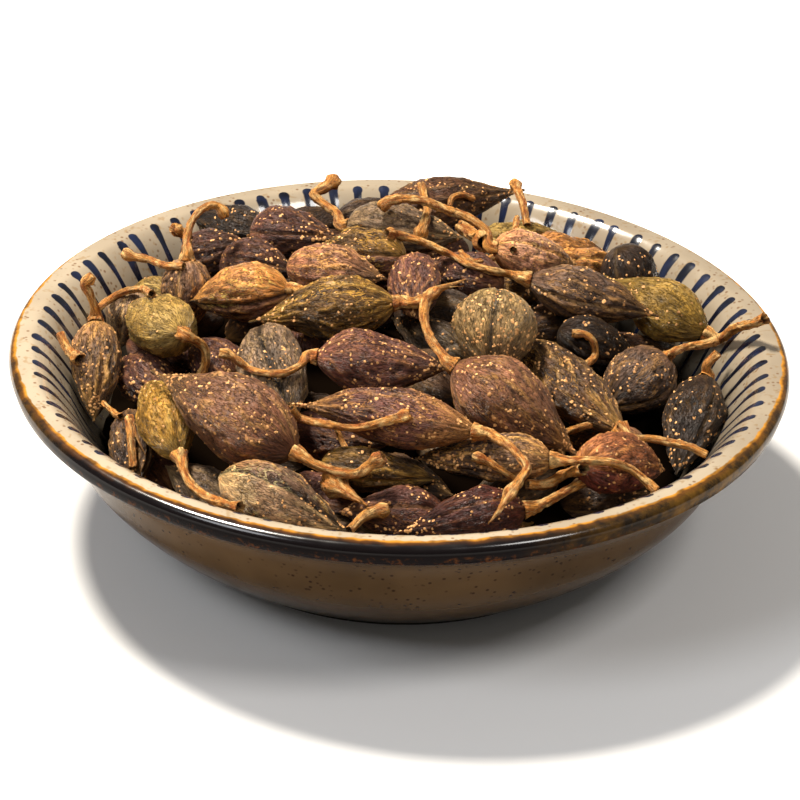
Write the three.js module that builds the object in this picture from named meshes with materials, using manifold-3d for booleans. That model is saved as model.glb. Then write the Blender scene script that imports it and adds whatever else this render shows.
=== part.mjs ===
// A small stoneware dish heaped with dried forsythia fruit.
//
// Millimetres, +Z up. The origin is the middle of the foot, on the table.
// The dish is turned, so it is a lathe of one outline. The fruit lie in one
// heap: a low mound with every fruit and stalk that shows fused onto it.

import * as THREE from 'three';
import { mergeVertices } from 'three/addons/utils/BufferGeometryUtils.js';
import Module from 'manifold-3d';

const { PI, sin, cos, hypot, max, min, sqrt, abs } = Math;
const wasm = await Module();
wasm.setup();

// ---------------------------------------------------------------- sizes

// The dish.
const LIP_RADIUS = 57;          // outermost edge of the lip: 114 mm across
const LIP_HEIGHT = 28.4;        // top of the lip above the table
const LIP_INNER = 54.2;         // where the flat lip turns down into the bowl
const BAND_DEPTH = 3.2;         // rounded outer face of the lip
const FOOT_RADIUS = 32.5;
const FOOT_HEIGHT = 1.3;
const FLOOR_HEIGHT = 5.0;       // inside floor above the table
const DISH_SIDES = 52;

// The heap.
const GAP = 0.35;               // fruit to glaze
const MOUND_TOP = 5.2;          // crown of the fruit centres, above the lip
const MOUND_FALL = 0.0055;      // drop of the mound = fall * radius²
const MOUND_TILT = 4 * PI / 180; // the heap is higher at the back
const MOUND_SINK = 4.0;         // the fused core lies this far below centres
const MOUND_SIDES = 16;
const FRUIT_SIDES = 8;
const FRUIT_STATIONS = [0.04, 0.2, 0.42, 0.64, 0.85];
const HIDDEN_SIDES = 6;
const HIDDEN_STATIONS = [0.06, 0.34, 0.62, 0.85];
const FLATNESS = 0.94;          // a capsule is a little flatter than round
const STALK_SIDES = 5;

// Where each piece lies was read off one picture, so a place is a pixel of
// that picture and a height. These values turn the two into a point.
const EYE_RISE = 28.05 * PI / 180;  // the picture looks down on the lip
const EYE_ROLL = -2.0 * PI / 180;
const EYE_REACH = 418;              // eye to the middle of the lip
const FOCAL_PIXELS = 2856;
const LIP_CENTRE_PIXEL = [400.3, 340.0];

// ------------------------------------------------------------ the picture

const toEye = new THREE.Vector3(0, -cos(EYE_RISE), sin(EYE_RISE));
const levelRight = new THREE.Vector3(1, 0, 0);
const levelUp = toEye.clone().cross(levelRight);
const pictureRight = levelRight.clone().multiplyScalar(cos(EYE_ROLL))
  .addScaledVector(levelUp, -sin(EYE_ROLL));
const pictureUp = levelRight.clone().multiplyScalar(sin(EYE_ROLL))
  .addScaledVector(levelUp, cos(EYE_ROLL));
const eye = toEye.clone().multiplyScalar(EYE_REACH);
eye.z += LIP_HEIGHT;

// Unit vector from the eye through a pixel.
function sight([u, v]) {
  return toEye.clone().negate()
    .addScaledVector(pictureRight, (u - LIP_CENTRE_PIXEL[0]) / FOCAL_PIXELS)
    .addScaledVector(pictureUp, (LIP_CENTRE_PIXEL[1] - v) / FOCAL_PIXELS)
    .normalize();
}

// A place seen at a pixel, `height` above the lip: its ray and its reach.
function place(pixel, height) {
  const ray = sight(pixel);
  return { ray, reach: (LIP_HEIGHT + height - eye.z) / ray.z };
}

const pointOf = ({ ray, reach }) => eye.clone().addScaledVector(ray, reach);

// -------------------------------------------------------------- the fruit

// The outline of a capsule from stem (0) to beak (1): where its belly is, and
// how pointed each end is. 0.5 is a round end, 1 a cone, more is drawn out.
const PLUMP = { belly: 0.36, base: 0.5, beak: 1.1 };
const ROUND = { belly: 0.4, base: 0.45, beak: 1.0 };
const DROP = { belly: 0.38, base: 0.8, beak: 1.4 };
const OVAL = { belly: 0.48, base: 0.75, beak: 0.75 };
const PEAR = { belly: 0.34, base: 0.7, beak: 1.7 };
const SPLIT = { belly: 0.38, base: 0.65, beak: 1.15 };
const BEAKED = { belly: 0.36, base: 0.75, beak: 1.6 };
const SPINDLE = { belly: 0.42, base: 1.2, beak: 2.0 };
const NECKED = { belly: 0.54, base: 1.2, beak: 0.5 };

function fullness({ belly, base, beak }, t) {
  return t < belly
    ? max(0.14, (1 - (1 - t / belly) ** 2) ** base)
    : max(0.05, (1 - ((t - belly) / (1 - belly)) ** 2) ** beak);
}

// stem pixel u, v and height above the lip; beak the same; girth; outline.
const FRUIT = [
  [96, 322, 0, 94, 421, -9.5, 7.9, PLUMP],
  [134, 290, -1.5, 120, 348, -9, 7.4, PLUMP],
  [172, 298, -1, 126, 306, -7, 8, PLUMP],
  [187, 258, 5, 186, 338, -7, 7.8, PLUMP],
  [184, 334, 2, 129, 306, -2, 9.2, PLUMP],
  [290, 291, 5, 191, 301, 1, 9.4, SPLIT],
  [224, 264, 0.5, 294, 272, 3, 8.8, PLUMP],
  [182, 260, -2, 250, 244, 1, 7.6, PLUMP],
  [272, 236, 1.5, 182, 214, -1.5, 6.8, PLUMP],
  [252, 232, 1.5, 339, 238, 4, 9, PLUMP],
  [368, 221, 2, 524, 190, 2, 9.2, BEAKED],
  [348, 226, 3.5, 462, 238, 5, 9.6, PLUMP],
  [405, 258, 6, 308, 252, 3.5, 8.6, PLUMP],
  [288, 266, 4.5, 386, 279, 6, 8, PLUMP],
  [416, 262, 6.5, 417, 318, 5, 8.4, PLUMP],
  [396, 303, 6.5, 250, 322, 3.5, 9.8, BEAKED],
  [497, 296, 7, 491, 374, 3, 12.3, ROUND],
  [452, 365, 5, 577, 454, -1.5, 11.6, DROP],
  [314, 357, 4.5, 451, 369, 4.5, 9.6, DROP],
  [264, 332, 2.5, 293, 420, -1, 10, ROUND],
  [296, 453, -0.5, 152, 371, 0.5, 11.8, PEAR],
  [180, 457, -3.5, 150, 383, -2, 8.4, OVAL],
  [220, 476, -4.5, 346, 530, -7, 9.8, SPLIT],
  [484, 433, 1.5, 289, 404, 1.5, 8.9, SPINDLE],
  [322, 462, -3, 438, 480, -3.5, 6.8, PLUMP],
  [552, 460, -2.5, 416, 458, -2, 7.2, PLUMP],
  [526, 509, -5.5, 397, 533, -6.5, 8.2, PEAR],
  [582, 464, -1.5, 664, 470, -7.5, 9.2, PLUMP],
  [627, 434, -2, 526, 348, 3, 8.8, NECKED],
  [664, 360, -3, 604, 410, -7, 10.2, ROUND],
  [706, 380, -4, 676, 474, -9, 8.4, PLUMP],
  [712, 336, -3, 604, 276, 0.5, 9.6, SPINDLE],
  [526, 279, 5, 658, 316, -1, 8.4, DROP],
  [494, 247, 6, 576, 264, 2, 7.6, PLUMP],
  [548, 266, 0, 632, 269, -3.5, 6.8, PLUMP],
  [530, 252, -0.5, 608, 254, -3, 6.8, PLUMP],
  [618, 248, 2, 650, 316, -7, 9.6, ROUND],
  [482, 240, 2.5, 572, 240, -0.5, 6.2, PLUMP],
  [126, 366, -6, 180, 404, -4, 7.8, PLUMP],
  [240, 386, -4, 188, 340, -0.5, 8.2, PLUMP],
  [131, 412, -4, 134, 492, -13, 7, PLUMP],
  [172, 490, -10, 120, 452, -12, 7.4, PLUMP],
  [240, 512, -10, 166, 466, -7.5, 7.6, PLUMP],
  [446, 518, -9, 340, 512, -6.5, 7.6, PLUMP],
  [502, 284, 3.5, 420, 266, 2, 7.4, PLUMP],
  [474, 362, 0.5, 392, 318, 0.5, 7.6, PLUMP],
  [560, 330, -1.5, 640, 368, -7.5, 8.2, PLUMP],
  [516, 398, -4, 606, 442, -9, 8.2, PLUMP],
  [290, 428, -6, 390, 444, -5, 7.6, PLUMP],
  [560, 506, -11, 660, 490, -9, 7.6, PLUMP],
].map(([u, v, h, bu, bv, bh, girth, outline]) => ({
  stem: place([u, v], h), beak: place([bu, bv], bh), girth, outline,
}));

// A fruit as a row of balls along its axis.
function ballsBetween(from, to, girth, outline, count) {
  return Array.from({ length: count }, (_, k) => {
    const t = (k + 0.5) / count;
    return {
      t, centre: from.clone().lerp(to, t), radius: fullness(outline, t) * girth / 2,
    };
  });
}

const balls = ({ stem, beak, girth, outline }, count) =>
  ballsBetween(pointOf(stem), pointOf(beak), girth, outline, count);

// Fruit that overlap slide apart along the line of sight until they touch.
const SETTLE_ROUNDS = 60;
const SETTLE_BALLS = 9;
const SETTLE_SHARE = 0.25;      // part of each overlap undone per round
const SETTLE_STEP = 1.5;
const TOUCH = 0.97;             // ripe skins dent a little where they touch

function deepestOverlap(rowA, rowB) {
  let deepest = { depth: 0 };
  for (const a of rowA) {
    for (const b of rowB) {
      const reach = (a.radius + b.radius) * TOUCH;
      const depth = reach - a.centre.distanceTo(b.centre);
      if (depth > deepest.depth) deepest = { depth, a, b, reach };
    }
  }
  return deepest.depth > 0 ? deepest : null;
}

function settle(fruit) {
  const middle = fruit.map(({ stem, beak }) =>
    stem.ray.clone().add(beak.ray).normalize());
  for (let round = 0; round < SETTLE_ROUNDS; round += 1) {
    const rows = fruit.map((f) => balls(f, SETTLE_BALLS));
    const slide = fruit.map(() => ({ stem: 0, beak: 0 }));
    for (let i = 0; i < fruit.length; i += 1) {
      for (let j = i + 1; j < fruit.length; j += 1) {
        const hit = deepestOverlap(rows[i], rows[j]);
        if (!hit) continue;
        const apart = hit.a.centre.clone().sub(hit.b.centre);
        const along = apart.dot(middle[i]);
        const aside = max(0, apart.lengthSq() - along * along);
        const need = sqrt(max(0, hit.reach ** 2 - aside)) - abs(along);
        const step = SETTLE_SHARE * min(need, SETTLE_STEP) * (along > 0 ? 1 : -1);
        slide[i].stem += step * (1 - hit.a.t);
        slide[i].beak += step * hit.a.t;
        slide[j].stem -= step * (1 - hit.b.t);
        slide[j].beak -= step * hit.b.t;
      }
    }
    fruit.forEach((f, i) => {
      f.stem.reach += slide[i].stem;
      f.beak.reach += slide[i].beak;
    });
  }
}
settle(FRUIT);

// ------------------------------------------------------------- the stalks

// `fruit` is the fruit whose stem end the stalk grows from; a loose one has
// none. `height` is above the lip at its two ends, `path` its pixels.
const STALKS = [
  { fruit: 0, height: [null, 7.5], thick: 1.4,
    path: [[94, 305], [88, 291], [84, 285], [93, 275]] },
  { height: [-2, 2.5], thick: 1.5,
    path: [[90, 321], [96, 312], [104, 304], [112, 298], [123, 292], [137, 289],
      [152, 294]] },
  { fruit: 4, height: [null, -3], thick: 1.7,
    path: [[195, 338], [204, 348], [206, 362], [200, 377]] },
  { fruit: 3, height: [null, 9.5], thick: 1.6,
    path: [[187, 240], [192, 222], [200, 211], [214, 205], [221, 209], [225, 217]] },
  { height: [2, 4], thick: 1.6, path: [[190, 237], [180, 232], [172, 228]] },
  { height: [3.5, 4], thick: 1.5,
    path: [[184, 266], [166, 266], [148, 259], [132, 256], [123, 252]] },
  { fruit: 5, height: [null, 6], thick: 2.2, path: [[297, 291], [305, 293]] },
  { fruit: 15, height: [null, 7], thick: 2.2,
    path: [[404, 303], [414, 303], [423, 300]] },
  { fruit: 17, height: [null, 10.5], thick: 1.9,
    path: [[441, 353], [431, 340], [425, 325], [424, 312], [427, 298], [437, 290],
      [454, 284], [466, 279]] },
  { fruit: 18, height: [null, 5], thick: 1.4,
    path: [[300, 365], [284, 373], [264, 373], [249, 369], [240, 363], [229, 355],
      [219, 353]] },
  { fruit: 20, height: [null, 1.5], thick: 1.8,
    path: [[303, 458], [319, 466], [340, 473], [358, 473], [372, 464], [384, 457]] },
  { fruit: 21, height: [null, -1.5], thick: 1.7,
    path: [[184, 472], [191, 484], [204, 495], [222, 503], [240, 507]] },
  { fruit: 23, height: [null, -0.5], thick: 1.8,
    path: [[495, 437], [509, 446], [521, 458], [527, 468], [521, 478], [511, 491],
      [500, 509], [488, 524]] },
  { height: [3, 7], thick: 1.5,
    path: [[291, 407], [300, 418], [327, 424], [356, 428], [384, 422], [400, 418],
      [411, 414]] },
  { fruit: 25, height: [null, -3.5], thick: 1.6,
    path: [[578, 461], [607, 462], [629, 468], [645, 480], [656, 491]] },
  { fruit: 28, height: [null, -3.5], thick: 1.5,
    path: [[652, 439], [672, 443], [690, 447], [707, 455]] },
  { fruit: 26, height: [null, -4], thick: 1.8,
    path: [[538, 507], [553, 498], [572, 488], [588, 480]] },
  { height: [-3.5, -3.5], thick: 2,
    path: [[527, 484], [546, 484], [565, 474], [584, 469]] },
  { height: [-1, -2], thick: 1.3,
    path: [[473, 457], [481, 458], [494, 465], [508, 474], [518, 482]] },
  { fruit: 31, height: [null, 4.5], thick: 2,
    path: [[735, 328], [752, 324], [765, 319]] },
  { fruit: 29, height: [null, -0.5], thick: 1.7,
    path: [[676, 351], [690, 346], [706, 344], [718, 340]] },
  { fruit: 30, height: [null, 0], thick: 1.6, path: [[706, 366], [718, 353]] },
  { fruit: 32, height: [null, 8.5], thick: 1.6,
    path: [[509, 274], [495, 271], [482, 268], [468, 264], [454, 256], [438, 249],
      [420, 241], [402, 236], [386, 233]] },
  { fruit: 33, height: [null, 9], thick: 1.9,
    path: [[486, 231], [470, 219], [456, 213], [438, 206], [420, 200], [402, 199],
      [388, 202], [381, 209]] },
  { height: [5, 6], thick: 1.3,
    path: [[449, 207], [452, 198], [462, 195], [474, 199]] },
  { height: [2.5, 5], thick: 1.7,
    path: [[527, 226], [524, 207], [519, 194], [514, 182]] },
  { height: [4, 4], thick: 1.4, path: [[517, 218], [513, 250]] },
  { height: [9, 6.5], thick: 1.8,
    path: [[421, 184], [425, 200], [427, 214], [419, 239]] },
  { fruit: 11, height: [null, 7], thick: 2,
    path: [[337, 213], [325, 205], [314, 194], [325, 187], [337, 179]] },
  { height: [5, 5], thick: 2.8, path: [[460, 226], [472, 234], [486, 243]] },
  { height: [4, 4], thick: 1.4, path: [[460, 252], [474, 262], [492, 258]] },
  { height: [-1, -2], thick: 1.6,
    path: [[572, 334], [585, 335], [593, 342], [595, 354], [584, 366]] },
  { height: [-4, -5], thick: 1.5, path: [[567, 432], [588, 425], [606, 424]] },
  { height: [-3, -4], thick: 2.6, path: [[328, 479], [345, 491], [368, 506]] },
  { height: [-6, -4], thick: 1.7,
    path: [[349, 531], [363, 517], [376, 511], [389, 508]] },
  { height: [-4, -9], thick: 2.2, path: [[128, 418], [131, 440], [133, 468]] },
  { height: [-8, -5], thick: 1.2, path: [[103, 403], [112, 411], [121, 417]] },
  { height: [0, -2], thick: 1.8, path: [[60, 334], [68, 350], [80, 360]] },
  { height: [-3, -5], thick: 1.2, path: [[337, 430], [343, 443], [349, 456]] },
];

const DRAPE_BALLS = 15;
const DRAPE_LIMIT = 3.5;        // a stalk further back than this runs behind
const LOOSE_LIMIT = 8;          // a loose stalk drops this far onto a fruit
const BITE = 0.6;               // a resting stalk is pressed in this far
const ROOT_SHARE = 0.07;        // where in its fruit a stalk starts

// Distance from the eye to the fruit seen along a ray.
const skins = FRUIT.flatMap((f) => balls(f, DRAPE_BALLS));
function reachOfSkin(ray) {
  let nearest = Infinity;
  for (const { centre, radius } of skins) {
    const to = centre.clone().sub(eye);
    const along = to.dot(ray);
    const aside = to.lengthSq() - along * along;
    if (aside < radius * radius) {
      nearest = min(nearest, along - sqrt(radius * radius - aside));
    }
  }
  return nearest;
}

// The stalk's points: evenly deeper from one end to the other, and lifted
// onto whatever fruit it crosses. One that grows from a fruit starts in it.
function stalkPoints({ fruit, height: [from, to], thick, path }) {
  const root = fruit === undefined ? place(path[0], from) : FRUIT[fruit].stem;
  const end = place(path[path.length - 1], to);
  const rays = path.map(sight);
  if (fruit !== undefined) rays.unshift(root.ray);
  const run = [0];
  for (let k = 1; k < rays.length; k += 1) {
    run.push(run[k - 1] + rays[k].distanceTo(rays[k - 1]));
  }
  const points = rays.map((ray, k) => {
    const part = run[k] / run[run.length - 1];
    let reach = root.reach + (end.reach - root.reach) * part;
    const rest = reachOfSkin(ray) - thick / 2 + BITE;
    const loose = fruit === undefined;
    const drop = reach - rest;
    if (loose ? abs(drop) < LOOSE_LIMIT : k > 0 && drop > 0 && drop < DRAPE_LIMIT) {
      reach = rest;
    }
    return pointOf({ ray, reach });
  });
  if (fruit !== undefined) {
    const { stem, beak } = FRUIT[fruit];
    points.unshift(pointOf(stem).lerp(pointOf(beak), ROOT_SHARE));
  }
  return points;
}

// ---------------------------------------------------- inside of the bowl

// A smooth run of outline through a few points.
function smoothRun(points, steps) {
  return new THREE.SplineCurve(points.map(([r, z]) => new THREE.Vector2(r, z)))
    .getPoints(steps).map(({ x, y }) => [x, y]);
}

// The inside of the bowl, from the lip down to the floor: a flared rim, a
// steep wall, and a round turn into the floor.
const innerRun = smoothRun([
  [LIP_INNER, LIP_HEIGHT], [51.3, LIP_HEIGHT - 2.3], [48.3, LIP_HEIGHT - 6.3],
  [44.8, LIP_HEIGHT - 13], [39.5, LIP_HEIGHT - 18.7], [32.5, LIP_HEIGHT - 22],
], 8);

// Radius of the bowl's wall at a height, straight between the run's points.
function wallRadius(z) {
  const k = innerRun.findIndex(([, height]) => height <= z);
  if (k === 0) return LIP_INNER;
  if (k < 0) return 0;
  const [r1, z1] = innerRun[k];
  const [r0, z0] = innerRun[k - 1];
  return r1 + (r0 - r1) * (z - z1) / (z0 - z1);
}

// -------------------------------------------- fruit that the picture hides

// The rest of the heap follows a rule. Places lie on a sunflower spiral and
// each has a chance heading. A fruit sinks there until it fits between the
// wall and its neighbours, and it stays out of sight of the picture.
const HIDDEN_PLACES = 260;
const HIDDEN_SPREAD = 46;
const HIDDEN_DROPS = 10;        // steps of 1 mm down from the mound's crown
const HIDDEN_OVERLAP = 0.9;
const HIDDEN_LOWEST = 7;        // a fruit's underside stays above this
const WALL_MARGIN = 1.15;       // radii kept between a fruit and the wall
const GOLDEN_ANGLE = PI * (3 - sqrt(5));

// A small random number generator, so that each build is the same.
let seed = 7;
function chance(low, high) {
  seed = (seed * 1664525 + 1013904223) % 4294967296;
  return low + (high - low) * seed / 4294967296;
}

// Height of the fruit centres of the crown over a place.
const crownHeight = (x, y) => LIP_HEIGHT + MOUND_TOP + y * Math.tan(MOUND_TILT)
  - MOUND_FALL * (x * x + y * y);

// How many of a ball's points would stand before a fruit of the picture.
function pointsInFront({ centre, radius }) {
  const offsets = [[0, 0], [1, 0], [-1, 0], [0, 1]];
  return offsets.filter(([right, up]) => {
    const ray = centre.clone()
      .addScaledVector(pictureRight, right * radius * 0.8)
      .addScaledVector(pictureUp, up * radius * 0.8).sub(eye);
    const reach = ray.length();
    const skin = reachOfSkin(ray.normalize());
    return skin < Infinity && reach < skin + radius * 0.3;
  }).length;
}

function fits(row, others) {
  return row.every(({ centre, radius }) =>
    hypot(centre.x, centre.y) + radius * WALL_MARGIN <= wallRadius(centre.z)
    && others.every((other) => radius + other.radius
      - centre.distanceTo(other.centre) <= HIDDEN_OVERLAP));
}

function hiddenFruit() {
  const placed = [];
  const taken = FRUIT.flatMap((f) => balls(f, SETTLE_BALLS));
  for (let k = 0; k < HIDDEN_PLACES; k += 1) {
    const r = HIDDEN_SPREAD * sqrt((k + 0.5) / HIDDEN_PLACES);
    const x = r * cos(k * GOLDEN_ANGLE);
    const y = r * sin(k * GOLDEN_ANGLE);
    const heading = chance(0, 2 * PI);
    const tilt = chance(-0.35, 0.35);
    const length = chance(15.5, 19.5);
    const girth = chance(7.2, 9.2);
    const axis = new THREE.Vector3(
      cos(heading) * cos(tilt), sin(heading) * cos(tilt), sin(tilt));
    for (let drop = 0; drop < HIDDEN_DROPS; drop += 1) {
      const z = crownHeight(x, y) - drop;
      if (z - girth / 2 < HIDDEN_LOWEST) break;
      const from = new THREE.Vector3(x, y, z).addScaledVector(axis, -length * 0.42);
      const to = from.clone().addScaledVector(axis, length);
      const row = ballsBetween(from, to, girth, PLUMP, SETTLE_BALLS);
      const seen = row.reduce((sum, ball) => sum + pointsInFront(ball), 0);
      if (fits(row, taken) && seen <= 2) {
        placed.push({ from, to, girth, outline: PLUMP });
        taken.push(...row);
        break;
      }
    }
  }
  return placed;
}
const HIDDEN = hiddenFruit();

// ------------------------------------------------------- solids and joins

function solid(geometry) {
  const bare = geometry.clone();
  bare.deleteAttribute('normal');
  bare.deleteAttribute('uv');
  const merged = mergeVertices(bare, 1e-4);
  return new wasm.Manifold(new wasm.Mesh({
    numProp: 3,
    vertProperties: new Float32Array(merged.attributes.position.array),
    triVerts: new Uint32Array(merged.index.array),
  }));
}

function geometryOf(manifold) {
  const mesh = manifold.getMesh();
  const geometry = new THREE.BufferGeometry();
  geometry.setAttribute('position',
    new THREE.BufferAttribute(mesh.vertProperties.slice(), 3));
  geometry.setIndex(new THREE.BufferAttribute(mesh.triVerts.slice(), 1));
  geometry.computeVertexNormals();
  return geometry;
}

// A lathe turned about +Z from [radius, height] pairs.
function turned(outline, sides) {
  const points = outline.map(([r, z]) => new THREE.Vector2(r, z));
  return new THREE.LatheGeometry(points, sides).rotateX(PI / 2);
}

// ---------------------------------------------------------------- the dish

// The outside, from the foot up to the underside of the lip.
const outerRun = smoothRun([
  [FOOT_RADIUS + 1.2, FOOT_HEIGHT], [41.6, LIP_HEIGHT - 21.1],
  [47.5, LIP_HEIGHT - 14.7], [50.5, LIP_HEIGHT - 8.2],
  [54.6, LIP_HEIGHT - BAND_DEPTH],
], 6);

const dishOutline = [
  [0, FOOT_HEIGHT],
  [FOOT_RADIUS - 4, FOOT_HEIGHT],
  [FOOT_RADIUS - 3.4, 0],
  [FOOT_RADIUS - 0.4, 0],
  [FOOT_RADIUS, 0.4],
  ...outerRun,
  [LIP_RADIUS - 1.0, LIP_HEIGHT - BAND_DEPTH + 0.1],
  [LIP_RADIUS - 0.2, LIP_HEIGHT - 2.2],
  [LIP_RADIUS, LIP_HEIGHT - 1.1],
  [LIP_RADIUS - 0.35, LIP_HEIGHT - 0.35],
  [LIP_RADIUS - 1.2, LIP_HEIGHT],
  ...innerRun,
  [24, FLOOR_HEIGHT + 0.1],
  [0, FLOOR_HEIGHT],
];

const stoneware = new THREE.MeshStandardMaterial({
  name: 'cream glaze', color: 0xd6c7a8, roughness: 0.3, metalness: 0,
});

const dish = new THREE.Mesh(turned(dishOutline, DISH_SIDES), stoneware);
dish.name = 'dish';

// ---------------------------------------------------------------- the heap

// One capsule, turned from its outline and laid from stem to beak.
function capsule({ from, to, girth, outline }, stations, sides) {
  const axis = to.clone().sub(from);
  const length = axis.length();
  const profile = [
    [0, 0],
    ...stations.map((t) => [fullness(outline, t) * girth / 2, t * length]),
    [0, length],
  ];
  const turn = new THREE.Quaternion().setFromUnitVectors(
    new THREE.Vector3(0, 0, 1), axis.normalize());
  return solid(turned(profile, sides)
    .scale(1, FLATNESS, 1)
    .applyQuaternion(turn)
    .translate(from.x, from.y, from.z));
}

const SEEN = FRUIT.map(({ stem, beak, girth, outline }) =>
  ({ from: pointOf(stem), to: pointOf(beak), girth, outline }));

// A fruit that lies clear of the mound stands on a post hidden under it.
const POST_RADIUS = 0.24;       // as a share of the fruit's girth
const POST_DEPTH = 3;           // how far a post reaches into the mound

const bellyOf = (from, to, { belly }) => from.clone().lerp(to, belly);

function postSolid({ from, to, girth, outline }) {
  const { x, y, z } = bellyOf(from, to, outline);
  const foot = crownHeight(x, y) - MOUND_SINK - POST_DEPTH;
  return solid(new THREE.CylinderGeometry(
    girth * POST_RADIUS, girth * POST_RADIUS, z - foot, 4)
    .rotateX(PI / 2)
    .translate(x, y, (z + foot) / 2));
}

function liesClear({ from, to, girth, outline }) {
  const { x, y, z } = bellyOf(from, to, outline);
  return z - girth * 0.38 > crownHeight(x, y) - MOUND_SINK;
}

// One stalk: a thin five-sided rod along a smooth path.
function stalkSolid(spec) {
  const section = new THREE.Shape();
  for (let k = 0; k < STALK_SIDES; k += 1) {
    const angle = 2 * PI * k / STALK_SIDES;
    const x = cos(angle) * spec.thick / 2;
    const y = sin(angle) * spec.thick / 2;
    if (k === 0) section.moveTo(x, y); else section.lineTo(x, y);
  }
  section.closePath();
  const points = stalkPoints(spec);
  return solid(new THREE.ExtrudeGeometry(section, {
    steps: points.length,
    extrudePath: new THREE.CatmullRomCurve3(points),
  }));
}

// The mound that carries the fruit, tilted up towards the back.
function moundSolid() {
  const rim = 50;
  const top = [];
  for (let r = 0; r <= rim; r += rim / 4) {
    top.push([r, LIP_HEIGHT + MOUND_TOP - MOUND_SINK - MOUND_FALL * r * r]);
  }
  const mound = turned([[0, 2], [rim, 2], ...top.reverse()], MOUND_SIDES)
    .translate(0, 0, -LIP_HEIGHT)
    .rotateX(MOUND_TILT)
    .translate(0, 0, LIP_HEIGHT);
  return solid(mound);
}

// The dish grown by the gap: whatever of the heap falls in it is cut off.
function clearanceSolid() {
  const inner = innerRun.filter((_, k) => k % 2 === 0)
    .map(([r, z]) => [r - GAP * 1.2, z + GAP]);
  return solid(turned([
    [0, -10], [LIP_RADIUS + 5, -10], [LIP_RADIUS + 5, LIP_HEIGHT + GAP],
    ...inner, [0, FLOOR_HEIGHT + GAP],
  ], DISH_SIDES / 2));
}

const pieces = [
  moundSolid(),
  ...SEEN.map((fruit) => capsule(fruit, FRUIT_STATIONS, FRUIT_SIDES)),
  ...HIDDEN.map((fruit) => capsule(fruit, HIDDEN_STATIONS, HIDDEN_SIDES)),
  ...[...SEEN, ...HIDDEN].filter(liesClear).map(postSolid),
  ...STALKS.map(stalkSolid),
];
const joined = wasm.Manifold.union(pieces).subtract(clearanceSolid());

// The outer skin of the heap alone: hollows shut in between fruit are filled.
function largestBody(manifold) {
  return manifold.decompose().sort((a, b) => b.volume() - a.volume())[0];
}
const heap = largestBody(solid(geometryOf(largestBody(joined))));

const driedFruit = new THREE.MeshStandardMaterial({
  name: 'dried fruit', color: 0x4a3428, roughness: 0.7, metalness: 0,
});

const fruitHeap = new THREE.Mesh(geometryOf(heap), driedFruit);
fruitHeap.name = 'fruit_heap';

const part = new THREE.Group();
part.add(dish, fruitHeap);

export default part;
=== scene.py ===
# %% [markdown]
# # A dish of dried forsythia fruit
#
# The real thing is a small stoneware dish, 114 mm across, heaped with the dry
# brown seed capsules of forsythia. Some still have their woody stalks. The CAD
# model gives the dish and the outside of the heap. Here both get their looks.

# %% Load the CAD model
import math
from types import SimpleNamespace

import bpy
import numpy as np
from mathutils import Matrix, Vector


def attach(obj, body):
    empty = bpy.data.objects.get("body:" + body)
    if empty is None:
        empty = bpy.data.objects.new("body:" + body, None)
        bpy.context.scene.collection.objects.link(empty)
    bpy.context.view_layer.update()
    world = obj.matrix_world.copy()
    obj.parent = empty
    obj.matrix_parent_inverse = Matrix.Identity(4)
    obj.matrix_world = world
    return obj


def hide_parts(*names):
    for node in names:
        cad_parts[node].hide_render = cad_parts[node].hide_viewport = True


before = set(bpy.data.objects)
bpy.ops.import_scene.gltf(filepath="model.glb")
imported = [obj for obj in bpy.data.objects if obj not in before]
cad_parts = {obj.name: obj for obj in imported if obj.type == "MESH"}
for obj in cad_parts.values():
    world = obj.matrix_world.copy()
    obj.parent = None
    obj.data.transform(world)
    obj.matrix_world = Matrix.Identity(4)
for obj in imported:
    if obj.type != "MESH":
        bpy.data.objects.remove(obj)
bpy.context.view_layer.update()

# %% [markdown]
# ## Sizes
#
# Everything is worked out in millimetres and turned into metres when a mesh is
# made. These are the sizes of the CAD model, so that each piece here lies in
# the place of its solid.

# %% The sizes of the dish and the heap
MM = 0.001
LIP_RADIUS = 57.0
LIP_HEIGHT = 28.4
LIP_INNER = 54.2
BAND_DEPTH = 3.2
FOOT_RADIUS = 32.5
FOOT_HEIGHT = 1.3
FLOOR_HEIGHT = 5.0
MOUND_TOP = 5.2
MOUND_FALL = 0.0055
MOUND_TILT = math.radians(4)
FLATNESS = 0.94
print(f"dish {2 * LIP_RADIUS:.0f} mm across, lip {LIP_HEIGHT} mm above the table")

# %% [markdown]
# ## The eye that saw the heap
#
# Each fruit was found in one picture. A pixel alone gives only a line of
# sight, so every place in the tables below is a pixel and a height above the
# lip. The same eye is used for the camera at the end, which is why the
# fruit fall where they should.

# %% From a pixel and a height to a point
EYE_RISE = math.radians(28.05)
EYE_ROLL = math.radians(-2.0)
EYE_REACH = 418.0
FOCAL_PIXELS = 2856.0
LIP_CENTRE_PIXEL = (400.3, 340.0)
IMAGE_PIXELS = 800

to_eye = np.array([0.0, -math.cos(EYE_RISE), math.sin(EYE_RISE)])
level_right = np.array([1.0, 0.0, 0.0])
level_up = np.cross(to_eye, level_right)
picture_right = math.cos(EYE_ROLL) * level_right - math.sin(EYE_ROLL) * level_up
picture_up = math.sin(EYE_ROLL) * level_right + math.cos(EYE_ROLL) * level_up
eye = to_eye * EYE_REACH + np.array([0.0, 0.0, LIP_HEIGHT])


def sight(pixel):
    """Unit vector from the eye through a pixel."""
    u, v = pixel
    ray = (-to_eye + picture_right * (u - LIP_CENTRE_PIXEL[0]) / FOCAL_PIXELS
           + picture_up * (LIP_CENTRE_PIXEL[1] - v) / FOCAL_PIXELS)
    return ray / np.linalg.norm(ray)


def reach_at(pixel, height):
    """How far along its ray a pixel meets a height above the lip."""
    return (LIP_HEIGHT + height - eye[2]) / sight(pixel)[2]


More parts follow.
